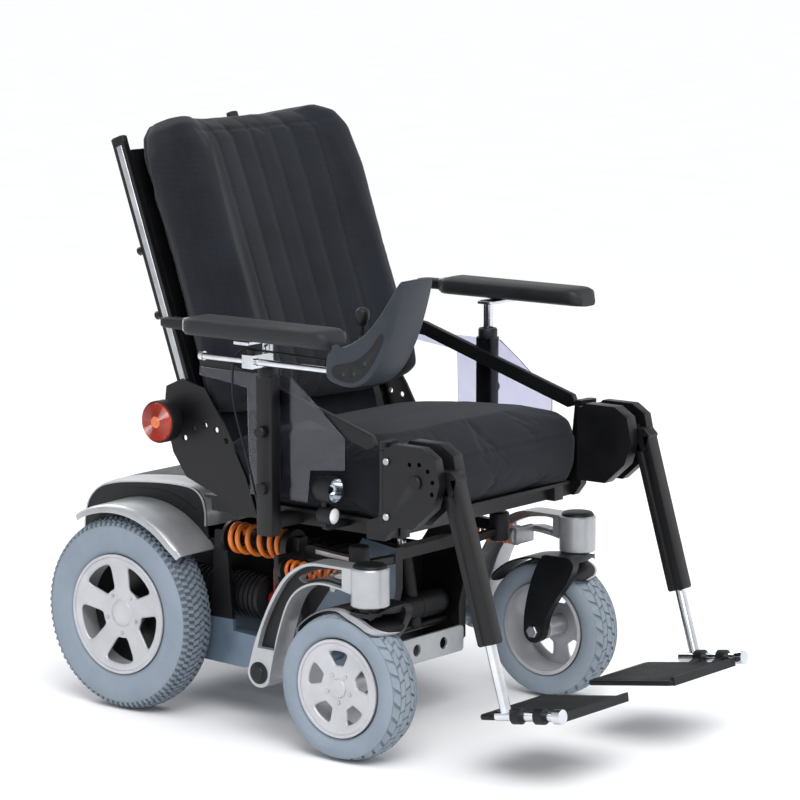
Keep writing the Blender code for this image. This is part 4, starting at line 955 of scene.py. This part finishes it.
made("nose_bolt", "suspension_bar")

# %% [markdown]
# ## Tilt actuator
# A linear actuator: a black tube, a small motor across its foot, and a chromed rod that lifts the seat.
# The motor housing is moulded with an end cap, so it is turned in one profile with a groove for the joint.

# %% Tilt actuator
FOOT = Vector((-0.4578, 0.1672))
HEAD = Vector((-0.4216, 0.3720))
along = (HEAD - FOOT).normalized()


def on_actuator(distance):
    """Place on the actuator's axis, as (x, y, z)."""
    p = FOOT + along * distance
    return Vector((0.0, p[0], p[1]))


def thick(t):
    return 0.0168 if t < 0.04 or 0.30 < t < 0.34 or t > 0.95 else 0.0156


outer = tube([on_actuator(0.150 * i / 60) for i in range(61)], thick, 32)
motor_bar = [(-0.032, 0.0001), (-0.032, 0.0210), (-0.029, 0.0240), (0.006, 0.0240), (0.007, 0.0228),
             (0.010, 0.0228),
             (0.011, 0.0240), (0.070, 0.0240), (0.071, 0.0230), (0.082, 0.0226), (0.087, 0.0190),
             (0.087, 0.0001)]
piece("tilt_actuator_body", join(outer, turn(motor_bar, (-0.452, 0.203), "X", 48)), black_abs, "base",
      ["tilt_actuator"])
softened("tilt_rod", chrome, 0.0008)
made("tilt")

# %% [markdown]
# ## Seat frame and back frame
# Both are steel weldments with round holes, so they keep their CAD shape with rounded edges. The back
# canes are extruded aluminium: a bright strip shows in each cane's outer slot.

# %% Seat and back frames
softened("seat_frame", black_steel, 0.0015)
softened("back_frame", black_steel, 0.0015)
BACK_FOOT = Vector((0.0, -0.198, 0.455))
BACK_LEAN = math.radians(20.0)
UP = Vector((0.0, math.sin(BACK_LEAN), math.cos(BACK_LEAN)))
FORE = Vector((0.0, -math.cos(BACK_LEAN), math.sin(BACK_LEAN)))


def on_back(x, up, fore):
    """Place in the leaned frame of the back."""
    return BACK_FOOT + Vector((x, 0.0, 0.0)) + UP * up + FORE * fore


for side_name, side in SIDES.items():
    strip = [(0.2601, -0.0065), (0.2614, -0.0055), (0.2614, 0.0055), (0.2601, 0.0065)]
    rings = [[on_back(side * x, 0.010 + 0.600 * i / 2, v) for x, v in strip] for i in range(3)]
    piece("cane_strip_" + side_name, skin(rings), zinc, "backrest")
    cap = []
    for k in range(4):
        reach = 0.0152 if 0 < k < 3 else 0.0120
        lift = (0.6150, 0.6160, 0.6250, 0.6275)[k]
        cap.append([on_back(side * (0.2545 + a), lift, b) for a, b in
                    slab(((-0.0070 * reach / 0.0152, 0.0070 * reach / 0.0152), (-reach, reach)), 0.003, 3)])
    piece("cane_cap_" + side_name, skin(cap), black_abs, "backrest")
clip = []
for k in range(5):
    lift = (0.630, 0.632, 0.640, 0.6415, 0.642)[k]
    reach = (0.011, 0.012, 0.012, 0.0105, 0.007)[k]
    clip.append([on_back(a, lift, 0.055 + b) for a, b in slab(((-reach, reach), (-0.006, 0.006)), 0.004, 3)])
piece("cover_clip", skin(clip), black_abs, "backrest")
made("frame_shape", "cane")

# %% [markdown]
# ## Sewn cushions
# A cushion is a foam block in a stretched cover. The CAD block is remeshed fine, blown up a little as
# cloth so its faces crown between the seams, and each point is held near its start, so that it stays
# the size it was built. Seams and channels go in afterwards, as grooves with a piping cord beside them.

# %% Cushion helper
def puffed(node, voxel, cap, pressure):
    """Copy of a CAD cushion, remeshed and blown up as cloth, no point moving farther than cap."""
    source = frame["nodes"][node]
    mesh = source.data.copy()
    mesh.transform(source.matrix_world)
    obj = bpy.data.objects.new("cover", mesh)
    bpy.context.scene.collection.objects.link(obj)
    remesh = obj.modifiers.new("remesh", "REMESH")
    remesh.mode = "VOXEL"
    remesh.voxel_size = voxel
    soft = obj.modifiers.new("soften", "SMOOTH")
    soft.iterations = 6
    soft.factor = 0.5
    with bpy.context.temp_override(object=obj, active_object=obj):
        bpy.ops.object.modifier_apply(modifier="remesh")
        bpy.ops.object.modifier_apply(modifier="soften")
    start = [v.co.copy() for v in obj.data.vertices]
    sheet = obj.modifiers.new("cloth", "CLOTH")
    sheet.settings.quality = 4
    sheet.settings.mass = 0.3
    sheet.settings.tension_stiffness = 40
    sheet.settings.compression_stiffness = 40
    sheet.settings.shear_stiffness = 20
    sheet.settings.bending_stiffness = 2.0
    sheet.settings.use_pressure = True
    sheet.settings.uniform_pressure_force = pressure
    sheet.settings.effector_weights.gravity = 0
    sheet.collision_settings.use_collision = False
    for number in range(1, 17):
        bpy.context.scene.frame_set(number)
    with bpy.context.temp_override(object=obj, active_object=obj):
        bpy.ops.object.modifier_apply(modifier="cloth")
    bpy.context.scene.frame_set(1)
    for vertex, home in zip(obj.data.vertices, start):
        step = vertex.co - home
        if step.length > cap:
            vertex.co = home + step * (cap / step.length)
    blown = obj.data
    bpy.data.objects.remove(obj)
    return blown


def bell(x, width):
    return math.exp(-(x / width) ** 2)


print("a bell one width out is", round(bell(1.0, 1.0), 3))

# %% [markdown]
# ## Seat cushion
# The seat is thick foam with a seam and a piping round its upper edge. The blown cover gets a crown and
# faint wrinkles, and its sides stay within the CAD block's width.

# %% Seat cushion
seat = puffed("seat_cushion", 0.0055, 0.012, 4.0)
low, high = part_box("seat_cushion")
for vertex, normal in zip(seat.vertices, [v.normal.copy() for v in seat.vertices]):
    x, y, z = vertex.co
    y -= AXLE_Y
    across = min(1.0, abs(x) / 0.245)
    along_seat = (y + 0.4315) / 0.2095
    top = max(0.0, (z - 0.490) / 0.050)
    side_face = max(0.0, (abs(x) - 0.235) / 0.025)
    crown = 0.0042 * (1 - across ** 2.6) * (1 - abs(along_seat) ** 3.5) * top
    wrinkle = 0.0009 * noise.noise(Vector((x * 11, y * 11, z * 9))) * (0.4 + 0.6 * min(1.0, top))
    seam = -0.0030 * bell(z - 0.508, 0.0028) * min(1.0, side_face + max(0.0, -along_seat - 0.86) * 8)
    piping = 0.0012 * bell(z - 0.5135, 0.0022) * min(1.0, side_face + max(0.0, -along_seat - 0.86) * 8)
    push = normal * (seam + piping + wrinkle)
    vertex.co = Vector((x, y + AXLE_Y, z - 0.0030 * top + crown)) + push
    vertex.co.x = min(max(vertex.co.x, low.x), high.x)
    vertex.co.y = max(vertex.co.y, low.y - 0.004)
seat = finish_object("seat_cushion_cover", seat, seat_cloth, "seat",
                     ["seat_cushion"], 0.0, 80.0, 1)
print("seat cover points", len(seat.data.vertices))

# %% [markdown]
# ## Back cushion
# Six sewn lines divide the back's face into upright channels that swell a little. Each line is a groove,
# and a thin dark cord that paints the groove's shade is laid along it afterwards by casting rays at the
# finished cover.

# %% Back cushion
back = puffed("back_cushion", 0.0055, 0.012, 4.0)
PANELS = (-0.135, -0.081, -0.027, 0.027, 0.081, 0.135)
foot = BACK_FOOT + Vector((0.0, AXLE_Y, 0.0))
low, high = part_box("back_cushion")
for vertex, normal in zip(back.vertices, [v.normal.copy() for v in back.vertices]):
    x = vertex.co.x
    offset = vertex.co - foot
    up = offset.dot(UP)
    fore = offset.dot(FORE)
    facing = max(0.0, normal.dot(FORE))
    reach = min(1.0, max(0.0, (up - 0.120) / 0.03)) * min(1.0, max(0.0, (0.632 - up) / 0.03))
    spread = 1.0 + 0.06 * (up - 0.35)
    seam = sum(bell(x / spread - s, 0.0026) for s in PANELS)
    puff = 0.0
    if abs(x) < 0.135 * spread:
        puff = 0.0016 * abs(math.sin(math.pi * (x / spread + 0.135) / 0.054))
    band = -0.0024 * bell(up - 0.598, 0.003) * (1.0 if abs(x) < 0.19 else 0.0)
    groove = (-0.0030 * seam + puff) * reach
    wrinkle = 0.0011 * noise.noise(Vector((x * 9, up * 5, 3.0))) + 0.0004 * noise.noise(Vector((x * 40,
                                                                                                up * 30,
                                                                                                9.0)))
    rear_seam = -0.0028 * bell(fore - 0.040, 0.003) * (1.0 - facing)
    vertex.co += normal * ((groove + band) * facing + wrinkle + rear_seam)
    vertex.co.x = min(max(vertex.co.x, low.x), high.x)
back = finish_object("back_cushion_cover", back, seat_cloth, "backrest",
                     ["back_cushion"], 0.0,
                     80.0, 1)


def lay_seam_shade(name, target, body, starts, way, radius):
    """Dark cord laid in a cushion's seam as painted shade: each start is cast along way, and its hits become
    one thin cord.
    """
    graph = bpy.context.evaluated_depsgraph_get()
    skin_of = target.evaluated_get(graph)
    path = []
    for start in starts:
        hit, place, normal, _ = skin_of.ray_cast(start, way)
        if hit:
            path.append(place - normal * radius * 0.35)
    line = tube([p - Vector((0.0, AXLE_Y, 0.0)) for p in path], radius, 8)
    return piece(name, line, seam_shade_cord, body)


for number, offset in enumerate(PANELS):
    starts = []
    for k in range(46):
        up = 0.125 + 0.500 * k / 45
        x = offset * (1.0 + 0.06 * (up - 0.35))
        starts.append(foot + Vector((x, 0.0, 0.0)) + UP * up + FORE * 0.30)
    lay_seam_shade(f"back_seam_{number}", back, "backrest", starts, -FORE, 0.0011)
rings = []
for i in range(25):
    x = -0.215 + 0.430 * i / 24
    sag = 0.0015 * math.sin(i * 1.9)
    rings.append([on_back(x, u, v + sag) for u, v in
                  ((0.112, 0.024), (0.080, 0.025), (0.046, 0.020), (0.0445, 0.0165), (0.047, 0.0135),
                   (0.080, 0.0175),
                   (0.112, 0.0175))])
piece("back_cushion_skirt", skin(rings), seat_cloth, "backrest")
print("back cover points", len(back.data.vertices))
made("back_seam")

# %% [markdown]
# ## Lamps
# Each side has a headlamp with a chromed bowl behind a clear lens, a white turn lamp under it in a black
# ring, and a round red and amber lamp on the side at the back. Bowls and lenses are turned profiles.

# %% Lamps
LAMP_X = 0.296
for side_name, side in SIDES.items():
    node = "headlamp_" + side_name
    place = (side * LAMP_X, 0.467)
    shell = [(-0.4800, 0.0001), (-0.4800, 0.0160), (-0.4860, 0.0205), (-0.5000, 0.0238), (-0.5225, 0.0240),
             (-0.5230, 0.0232), (-0.5230, 0.0218), (-0.5180, 0.0214), (-0.4950, 0.0180), (-0.4900, 0.0001)]
    low_place = (side * LAMP_X, 0.422)
    ring = [(-0.4860, 0.0001), (-0.4860, 0.0125), (-0.4910, 0.0160), (-0.5160, 0.0165), (-0.5180, 0.0160),
            (-0.5180, 0.0142), (-0.5150, 0.0138), (-0.5100, 0.0001)]
    near, far = sorted((side * 0.232, side * 0.300))
    bracket = extrude("Y", slab(((near, far), (0.396, 0.408)), 0.003), -0.505, -0.493)
    stalk = extrude("Y", slab(((side * LAMP_X - 0.006, side * LAMP_X + 0.006), (0.400, 0.452)), 0.003),
                    -0.503, -0.493)
    piece(node + "_case", join(turn(shell, place, "Y", 56), turn(ring, low_place, "Y", 48), bracket, stalk),
          black_abs, "seat", [node])
    bowl = [(-0.4960, 0.0001), (-0.4962, 0.0050), (-0.4990, 0.0120), (-0.5060, 0.0178), (-0.5150, 0.0208),
            (-0.5205, 0.0219), (-0.5200, 0.0222), (-0.5060, 0.0186), (-0.4985, 0.0130), (-0.4940, 0.0001)]
    piece(node + "_bowl", turn(bowl, place, "Y", 56), chrome, "seat", [node])
    bulb = [(-0.4960, 0.0001), (-0.4960, 0.0060), (-0.5080, 0.0062), (-0.5105, 0.0050), (-0.5112, 0.0001)]
    piece(node + "_bulb", turn(bulb, place, "Y", 24), case_plastic, "seat")
    glass = [(-0.5215, 0.0001), (-0.5205, 0.0110), (-0.5190, 0.0222), (-0.5178, 0.0222), (-0.5190, 0.0110),
             (-0.5200, 0.0001)]
    piece(node + "_lens", turn(glass, place, "Y", 56), lens_clear, "seat")
    turn_lens = [(-0.5120, 0.0001), (-0.5120, 0.0140), (-0.5165, 0.0138), (-0.5195, 0.0095),
                 (-0.5205, 0.0001)]
    piece(node + "_turn_lens", turn(turn_lens, low_place, "Y", 40), white_lens, "seat", [node])
    node = "tail_lamp_" + side_name
    spot = (-0.123, 0.548)
    shell = [(0.2830, 0.0001), (0.2830, 0.0330), (0.2860, 0.0370), (0.2900, 0.0380), (0.3110, 0.0380),
             (0.3125, 0.0375), (0.3130, 0.0362), (0.3100, 0.0355), (0.3060, 0.0001)]
    piece(node + "_case", turn(sided(side, shell), spot, "X", 56), black_abs, "seat",
          [node])
    step = [(0.3080, 0.0001), (0.3080, 0.0357), (0.3125, 0.0355)]
    for k in range(12):
        r = 0.0345 - 0.0028 * k
        step += [(0.3155 + 0.00025 * k, r), (0.3140 + 0.00025 * k, r - 0.0014)]
    step += [(0.3180, 0.0001)]
    piece(node + "_lens", turn(sided(side, step), spot, "X", 56), red_lens, "seat", [node])
    dot = knob_profile(0.3165, 0.3190, 0.0105, 0.001)
    piece(node + "_amber", turn(sided(side, dot), spot, "X", 32), amber_lens, "seat")
    cap_plate = turn(sided(side, knob_profile(0.262, 0.286, 0.012, 0.002)), spot, "X", 24)
    piece(node + "_stalk", cap_plate, black_abs, "seat")
made("lamp")

# %% [markdown]
# ## Armrests and clothing guards
# The armrest post is a chromed tube in a black clamp. The pad is moulded foam on a steel plate: a
# rounded bar with a flat foot, made as a skin over rings that shrink at both ends. The guard is a clear
# sheet under a black moulded rail.

# %% Armrests
PAD_X = 0.362


def pad_ring(y, half, height, foot_z, side, crown=0.0):
    points = []
    for k in range(28):
        a = math.tau * k / 28
        ca, sa = math.cos(a), math.sin(a)
        x = half * math.copysign(abs(ca) ** 0.45, ca)
        z = height / 2 * math.copysign(abs(sa) ** 0.55, sa)
        z += crown * (1 - (x / half) ** 2) if sa > 0 else 0.0
        points.append((side * PAD_X + x, y, foot_z + height / 2 + z))
    return points


for side_name, side in SIDES.items():
    node = "armrest_pad_" + side_name
    rings = []
    for i in range(31):
        t = i / 30
        end = min(1.0, t / 0.09, (1 - t) / 0.07)
        ease = max(0.0, 1.0 - (1.0 - min(1.0, end)) ** 2) ** 0.5
        half = 0.0370 * (0.55 + 0.45 * ease)
        high = 0.0335 * (0.45 + 0.55 * ease)
        rings.append(pad_ring(-0.582 + 0.330 * t, half, high, 0.7240, side, 0.0004 * ease))
    piece(node + "_foam", skin(rings), pad_skin, BODY_OF[node], [node])
    bar_shape = []
    for i in range(9):
        t = i / 8
        grow = 0.0095 + 0.0035 * min(1.0, 4 * t, 4 * (1 - t) + 0.3)
        bar_shape.append([(side * PAD_X + p[0], -0.272 + 0.084 * t, 0.739 + p[1])
                          for p in slab(((-grow, grow), (-grow * 0.75, grow * 0.75)), grow * 0.45, 4)])
    piece(node + "_grip", skin(bar_shape), black_abs, BODY_OF[node], [node])
    collar = [[(side * PAD_X + p[0], y, 0.739 + p[1]) for p in slab(((-g, g), (-g * 0.8, g * 0.8)), g * 0.4,
                                                                    4)]
              for y, g in ((-0.2480, 0.0150), (-0.2475, 0.0160), (-0.2440, 0.0160), (-0.2435, 0.0150))]
    piece(node + "_collar", skin(collar), zinc, BODY_OF[node])
    node = "armrest_post_" + side_name
    softened(node, chrome, 0.0008)
    node = "armrest_socket_" + side_name
    softened(node, black_steel, 0.0018)
    ring = turn([(0.6530, 0.0105), (0.6530, 0.0165), (0.6560, 0.0178), (0.6700, 0.0178), (0.6725, 0.0160),
                 (0.6725, 0.0105)], (side * 0.3153, -0.385), "Z", 40)
    piece(node + "_clamp", ring, black_abs, "seat")
    grip_knob = [(0.3260, 0.0001), (0.3260, 0.0060), (0.3310, 0.0062), (0.3330, 0.0105), (0.3400, 0.0110),
                 (0.3430, 0.0085), (0.3435, 0.0001)]
    piece(node + "_knob", turn(sided(side, grip_knob), (-0.385, 0.560), "X", 24), black_abs, "seat")
    softened("side_guard_" + side_name, guard_sheet, 0.0008)
made("armrest", "side_guard")

# %% [markdown]
# ## Joystick unit
# The joystick hangs on a chromed tube from the right arm. Its case is one swept moulding: the outline is
# smoothed, the edges are rolled over by shrinking the outline at each side, and a darker panel closes it
# below. The stick stands in a pleated rubber boot.

# %% Joystick
JOY_X = -0.3570
CASE = [(-0.5833, 0.7120), (-0.5833, 0.6840), (-0.6000, 0.6720), (-0.6380, 0.6685), (-0.6700, 0.6820),
        (-0.6960, 0.7120), (-0.7190, 0.7560), (-0.7360, 0.8040), (-0.7465, 0.8450), (-0.7430, 0.8530),
        (-0.7370, 0.8500), (-0.7160, 0.8210), (-0.6920, 0.7890), (-0.6680, 0.7640), (-0.6400, 0.7450),
        (-0.6120, 0.7340), (-0.5900, 0.7260)]
curve = smooth(CASE, 4, closed=True)
core = sum(curve, Vector((0.0, 0.0))) / len(curve)
rings = []
for x, inset in ((-0.3992, 0.0065), (-0.3988, 0.0038), (-0.3970, 0.0015), (-0.3930, 0.0), (-0.3570, -0.0008),
                 (-0.3210, 0.0), (-0.3170, 0.0015), (-0.3152, 0.0038), (-0.3148, 0.0065)):
    ring = []
    for i, p in enumerate(curve):
        ahead = curve[(i + 1) % len(curve)] - curve[i - 1]
        normal = Vector((-ahead.y, ahead.x)).normalized()
        if normal.dot(p - core) > 0:
            normal = -normal
        q = p + normal * min(inset, 0.0045 if p.y > 0.80 else 0.01)
        ring.append((x, q[0], q[1]))
    rings.append(ring)
piece("joystick_case", skin(rings), handset_plastic, "joystick_slide",
                ["joystick_housing"], 0.0, 50.0)
under = smooth([(-0.6010, 0.7020), (-0.6030, 0.6830), (-0.6380, 0.6770), (-0.6640, 0.6890), (-0.6880, 0.7170),
                (-0.7080, 0.7550), (-0.7010, 0.7640), (-0.6780, 0.7370), (-0.6470, 0.7150)], 5, closed=True)
panel = piece("joystick_panel", extrude("X", under, -0.3995, -0.3975), black_abs, "joystick_slide",
              [], 0.0006)
carve(panel, [turn([(-0.4010, 0.0001), (-0.4010, 0.0035), (-0.3960, 0.0035), (-0.3960, 0.0001)], (y, z),
                   "X", 20)
              for y, z in ((-0.622, 0.690), (-0.645, 0.693), (-0.668, 0.712))])
PIVOT = Vector((JOY_X, -0.629, 0.7385))
boot = [(-0.006, 0.0001), (-0.006, 0.0170), (0.000, 0.0178), (0.003, 0.0150), (0.006, 0.0158),
        (0.009, 0.0120),
        (0.012, 0.0128), (0.015, 0.0090), (0.018, 0.0096), (0.021, 0.0062), (0.024, 0.0001)]
softened("joystick_gimbal", black_abs, 0.0008)
softened("joystick_stick", black_abs, 0.0010)
verts, faces = turn(boot, (0.0, 0.0), "Z", 36)
gimbal_skirt = ([PIVOT + Vector((v[0] * 0.55, v[1] * 0.55, v[2] * 0.6)) for v in verts], faces)
piece("joystick_boot", gimbal_skirt, black_abs, "joystick_roll")
softened("power_button", red_plastic, 0.0008)
softened("joystick_tube", chrome, 0.0008)
softened("joystick_cable", black_abs, 0.0)
screw = turn([(0.6980, 0.0001), (0.6980, 0.0075), (0.7060, 0.0078), (0.7075, 0.0060), (0.7075, 0.0001)],
             (JOY_X, -0.385), "Z", 20)
piece("tube_clamp_screw", screw, black_abs, "armrest_right")
made("joystick")

# %% [markdown]
# ## Legrests and footplates
# The legrest swings on a black moulded housing with a perforated cheek. The hanger is an extrusion with
# a groove down each face, and the foot bar is a chromed tube with a ribbed footplate clamped on it.

# %% Legrests
KNEE_PIVOT = (-0.712, 0.505)
KNEE = Vector((-0.763, 0.512))
ANKLE = Vector((-0.844, 0.240))
shin = (ANKLE - KNEE).normalized()
fore_shin = Vector((shin.y, -shin.x))
for side_name, side in SIDES.items():
    node = "legrest_housing_" + side_name
    softened(node, black_steel, 0.0025)
    for y, z in ((-0.650, 0.535), (-0.650, 0.440)):
        bolt = turn(sided(side, knob_profile(0.3175, 0.3225, 0.0062, 0.001)), (y, z), "X", 24)
        piece(f"{node}_bolt_{round(z * 1000)}", bolt, zinc, BODY_OF[node])
    pin = turn(sided(side, knob_profile(0.3200, 0.3245, 0.0125, 0.0015)), KNEE_PIVOT, "X", 36)
    piece(node + "_knee_cap", pin, black_abs, BODY_OF[node])
    node = "legrest_hanger_" + side_name
    half_x = 0.0142
    profile = [(-half_x, -0.0165), (-half_x + 0.002, -0.0175), (half_x - 0.002, -0.0175), (half_x, -0.0165),
               (half_x, -0.0050), (half_x - 0.0025, -0.0042), (half_x - 0.0025, 0.0042), (half_x, 0.0050),
               (half_x, 0.0165), (half_x - 0.002, 0.0175), (-half_x + 0.002, 0.0175), (-half_x, 0.0165),
               (-half_x, 0.0050), (-half_x + 0.0025, 0.0042), (-half_x + 0.0025, -0.0042), (-half_x, -0.0050)]
    rings = []
    length = (ANKLE - KNEE).length
    for t in (0.0, 0.004, 0.5, 0.985, 1.0):
        shrink = 0.90 if t in (0.0, 1.0) else 1.0
        spot = KNEE + shin * (length * t)
        rings.append([(side * (0.2830 + a * shrink), spot.x + fore_shin.x * b * shrink,
                       spot.y + fore_shin.y * b * shrink) for a, b in profile])
    knuckle = turn(sided(side, knob_profile(0.2687, 0.2973, 0.0210, 0.0015)), KNEE_PIVOT, "X", 48)
    bridge = extrude("X", [(-0.712, 0.525), (-0.772, 0.5270), (-0.783, 0.5160), (-0.772, 0.484),
                           (-0.712, 0.485)],
                     side * 0.2688, side * 0.2972)
    piece(node + "_bar", join(skin(rings), knuckle, bridge), black_steel, BODY_OF[node], [node],
          0.0012)
    softened("legrest_tube_" + side_name, chrome, 0.0008)
made("legrest")

# %% [markdown]
# ## Footplates
# A footplate is a moulded slab on two knuckles round the foot bar. It is built in the bar's own directions,
# so it leans as the bar does, and its ribs and front lip are part of the same mesh.

# %% Footplates
BAR_FROM = Vector((-0.852, 0.118))
BAR_TO = Vector((-0.978, 0.136))
bar_way = (BAR_TO - BAR_FROM).normalized()
bar_up = Vector((-bar_way.y, bar_way.x))
if bar_up.y < 0:
    bar_up = -bar_up


def on_plate(x, along_bar, up, side):
    p = BAR_FROM + bar_way * along_bar + bar_up * up
    return Vector((side * x, p.x, p.y))


for side_name, side in SIDES.items():
    node = "footplate_" + side_name
    body = BODY_OF[node]
    top, foot_z = -0.0040, -0.0125
    rings = []
    for up, inset in ((foot_z, 0.0015), (foot_z + 0.0015, 0.0), (top - 0.0018, 0.0), (top, 0.0018)):
        inner = slab(((0.0645 + inset, 0.2525 - inset), (-0.0595 + inset, 0.1255 - inset)), 0.012 - inset, 5)
        rings.append([on_plate(x, a, up, side) for x, a in inner])
    ribs = []
    for k in range(23):
        a = -0.0480 + k * 0.0072
        strip = [on_plate(x, a + d, top - 0.0006 + u, side) for x in (0.0740, 0.2440)
                 for d, u in ((-0.0015, 0.0), (-0.0010, 0.0014), (0.0010, 0.0014), (0.0015, 0.0))]
        ribs.append((strip, [(0, 1, 5, 4), (1, 2, 6, 5), (2, 3, 7, 6), (3, 0, 4, 7), (0, 3, 2, 1),
                             (4, 5, 6, 7)]))
    knuckles = []
    front_edge = [[on_plate(x, a, up, side) for a,
                   up in ((0.1180, -0.0128), (0.1258, -0.0128), (0.1258, 0.0030),
                                                          (0.1180, 0.0015))] for x in (0.0700, 0.2620)]
    knuckles.append(skin(front_edge))
    for a in (0.044, 0.092):
        ends = [on_plate(0.275, a - 0.009, 0.0, side), on_plate(0.275, a + 0.009, 0.0, side)]
        knuckles.append(tube([ends[0].lerp(ends[1], t) for t in (0.0, 0.04, 0.5, 0.96, 1.0)],
                             lambda t: 0.0128 if t in (0.0, 1.0) else 0.0138, 28))
        web = [[on_plate(x, a + da, up, side) for da,
                up in ((-0.007, -0.0115), (0.007, -0.0115), (0.007, lift),
                                                             (-0.007, lift))]
               for x, lift in ((0.2700, 0.004), (0.2450, -0.0035))]
        knuckles.append(skin(web))
    piece(node + "_plate", join(skin(rings), *ribs, *knuckles), black_abs, body, [node], 0.0)
made("footplate")

# %% [markdown]
# ## Floor
# A pale floor, far wider than the view, takes the chair's soft shadow. It is staged, so it is no part of
# the chair.

# %% Floor
floor_mesh = bpy.data.meshes.new("floor")
floor_mesh.from_pydata([(-60.0, -60.0, 0.0), (60.0, -60.0, 0.0), (60.0, 60.0, 0.0), (-60.0, 60.0, 0.0)], [],
                       [(0, 1, 2, 3)])
floor = bpy.data.objects.new("floor", floor_mesh)
bpy.context.scene.collection.objects.link(floor)
floor_mesh.materials.append(surface("pale_studio_floor", "f5f5f6", "f8f8f9", 0.9, 6.0, relief=0.02, cloud=3.0,
                                    Specular_IOR_Level=0.1))
print("floor", [round(v) for v in floor.dimensions[:2]], "m")

# %% [markdown]
# ## Light
# A soft studio: a key light high in front of the chair, a wide fill from its left front, a lamp behind for
# the edges, and a broad sun that stands for a lit ceiling. The world is white low down and greyer overhead,
# which gives chrome and lacquer something to reflect.

# %% Lights
world = bpy.data.worlds.new("studio")
bpy.context.scene.world = world
world.use_nodes = True
sky = world.node_tree
way = add(sky, "ShaderNodeTexCoord")
height = add(sky, "ShaderNodeSeparateXYZ", Vector=way.outputs["Generated"])
walls = add(sky, "ShaderNodeValToRGB", Fac=height.outputs["Z"])
walls.color_ramp.elements[0].position = 0.10
walls.color_ramp.elements[0].color = (1.0, 1.0, 1.0, 1.0)
walls.color_ramp.elements[1].position = 0.75
walls.color_ramp.elements[1].color = (0.42, 0.44, 0.47, 1.0)
sky.links.new(walls.outputs["Color"], sky.nodes["Background"].inputs["Color"])
sky.nodes["Background"].inputs["Strength"].default_value = 1.0


def softbox(name, place, target, size, watts):
    """Rectangular area light aimed at a target."""
    data = bpy.data.lights.new(name, "AREA")
    data.shape = "RECTANGLE"
    data.size, data.size_y = size
    data.energy = watts
    light = bpy.data.objects.new(name, data)
    light.location = place
    aim = Vector(target) - Vector(place)
    light.rotation_euler = aim.to_track_quat("-Z", "Y").to_euler()
    bpy.context.scene.collection.objects.link(light)


softbox("key", (-2.6, -2.4, 3.4), (0.0, 0.0, 0.45), (2.0, 2.0), 60.0)
softbox("fill", (2.6, -2.6, 2.2), (0.0, 0.0, 0.5), (2.5, 2.5), 20.0)
softbox("rim", (0.8, 3.0, 2.6), (0.0, 0.1, 0.7), (2.4, 1.6), 45.0)
sun = bpy.data.lights.new("ceiling", "SUN")
sun.energy = 1.9
sun.angle = math.radians(50.0)
sun_object = bpy.data.objects.new("ceiling", sun)
sun_object.rotation_euler = Vector((0.35, 0.45, -1.0)).to_track_quat("-Z", "Y").to_euler()
bpy.context.scene.collection.objects.link(sun_object)
bpy.context.scene.view_settings.view_transform = "Standard"
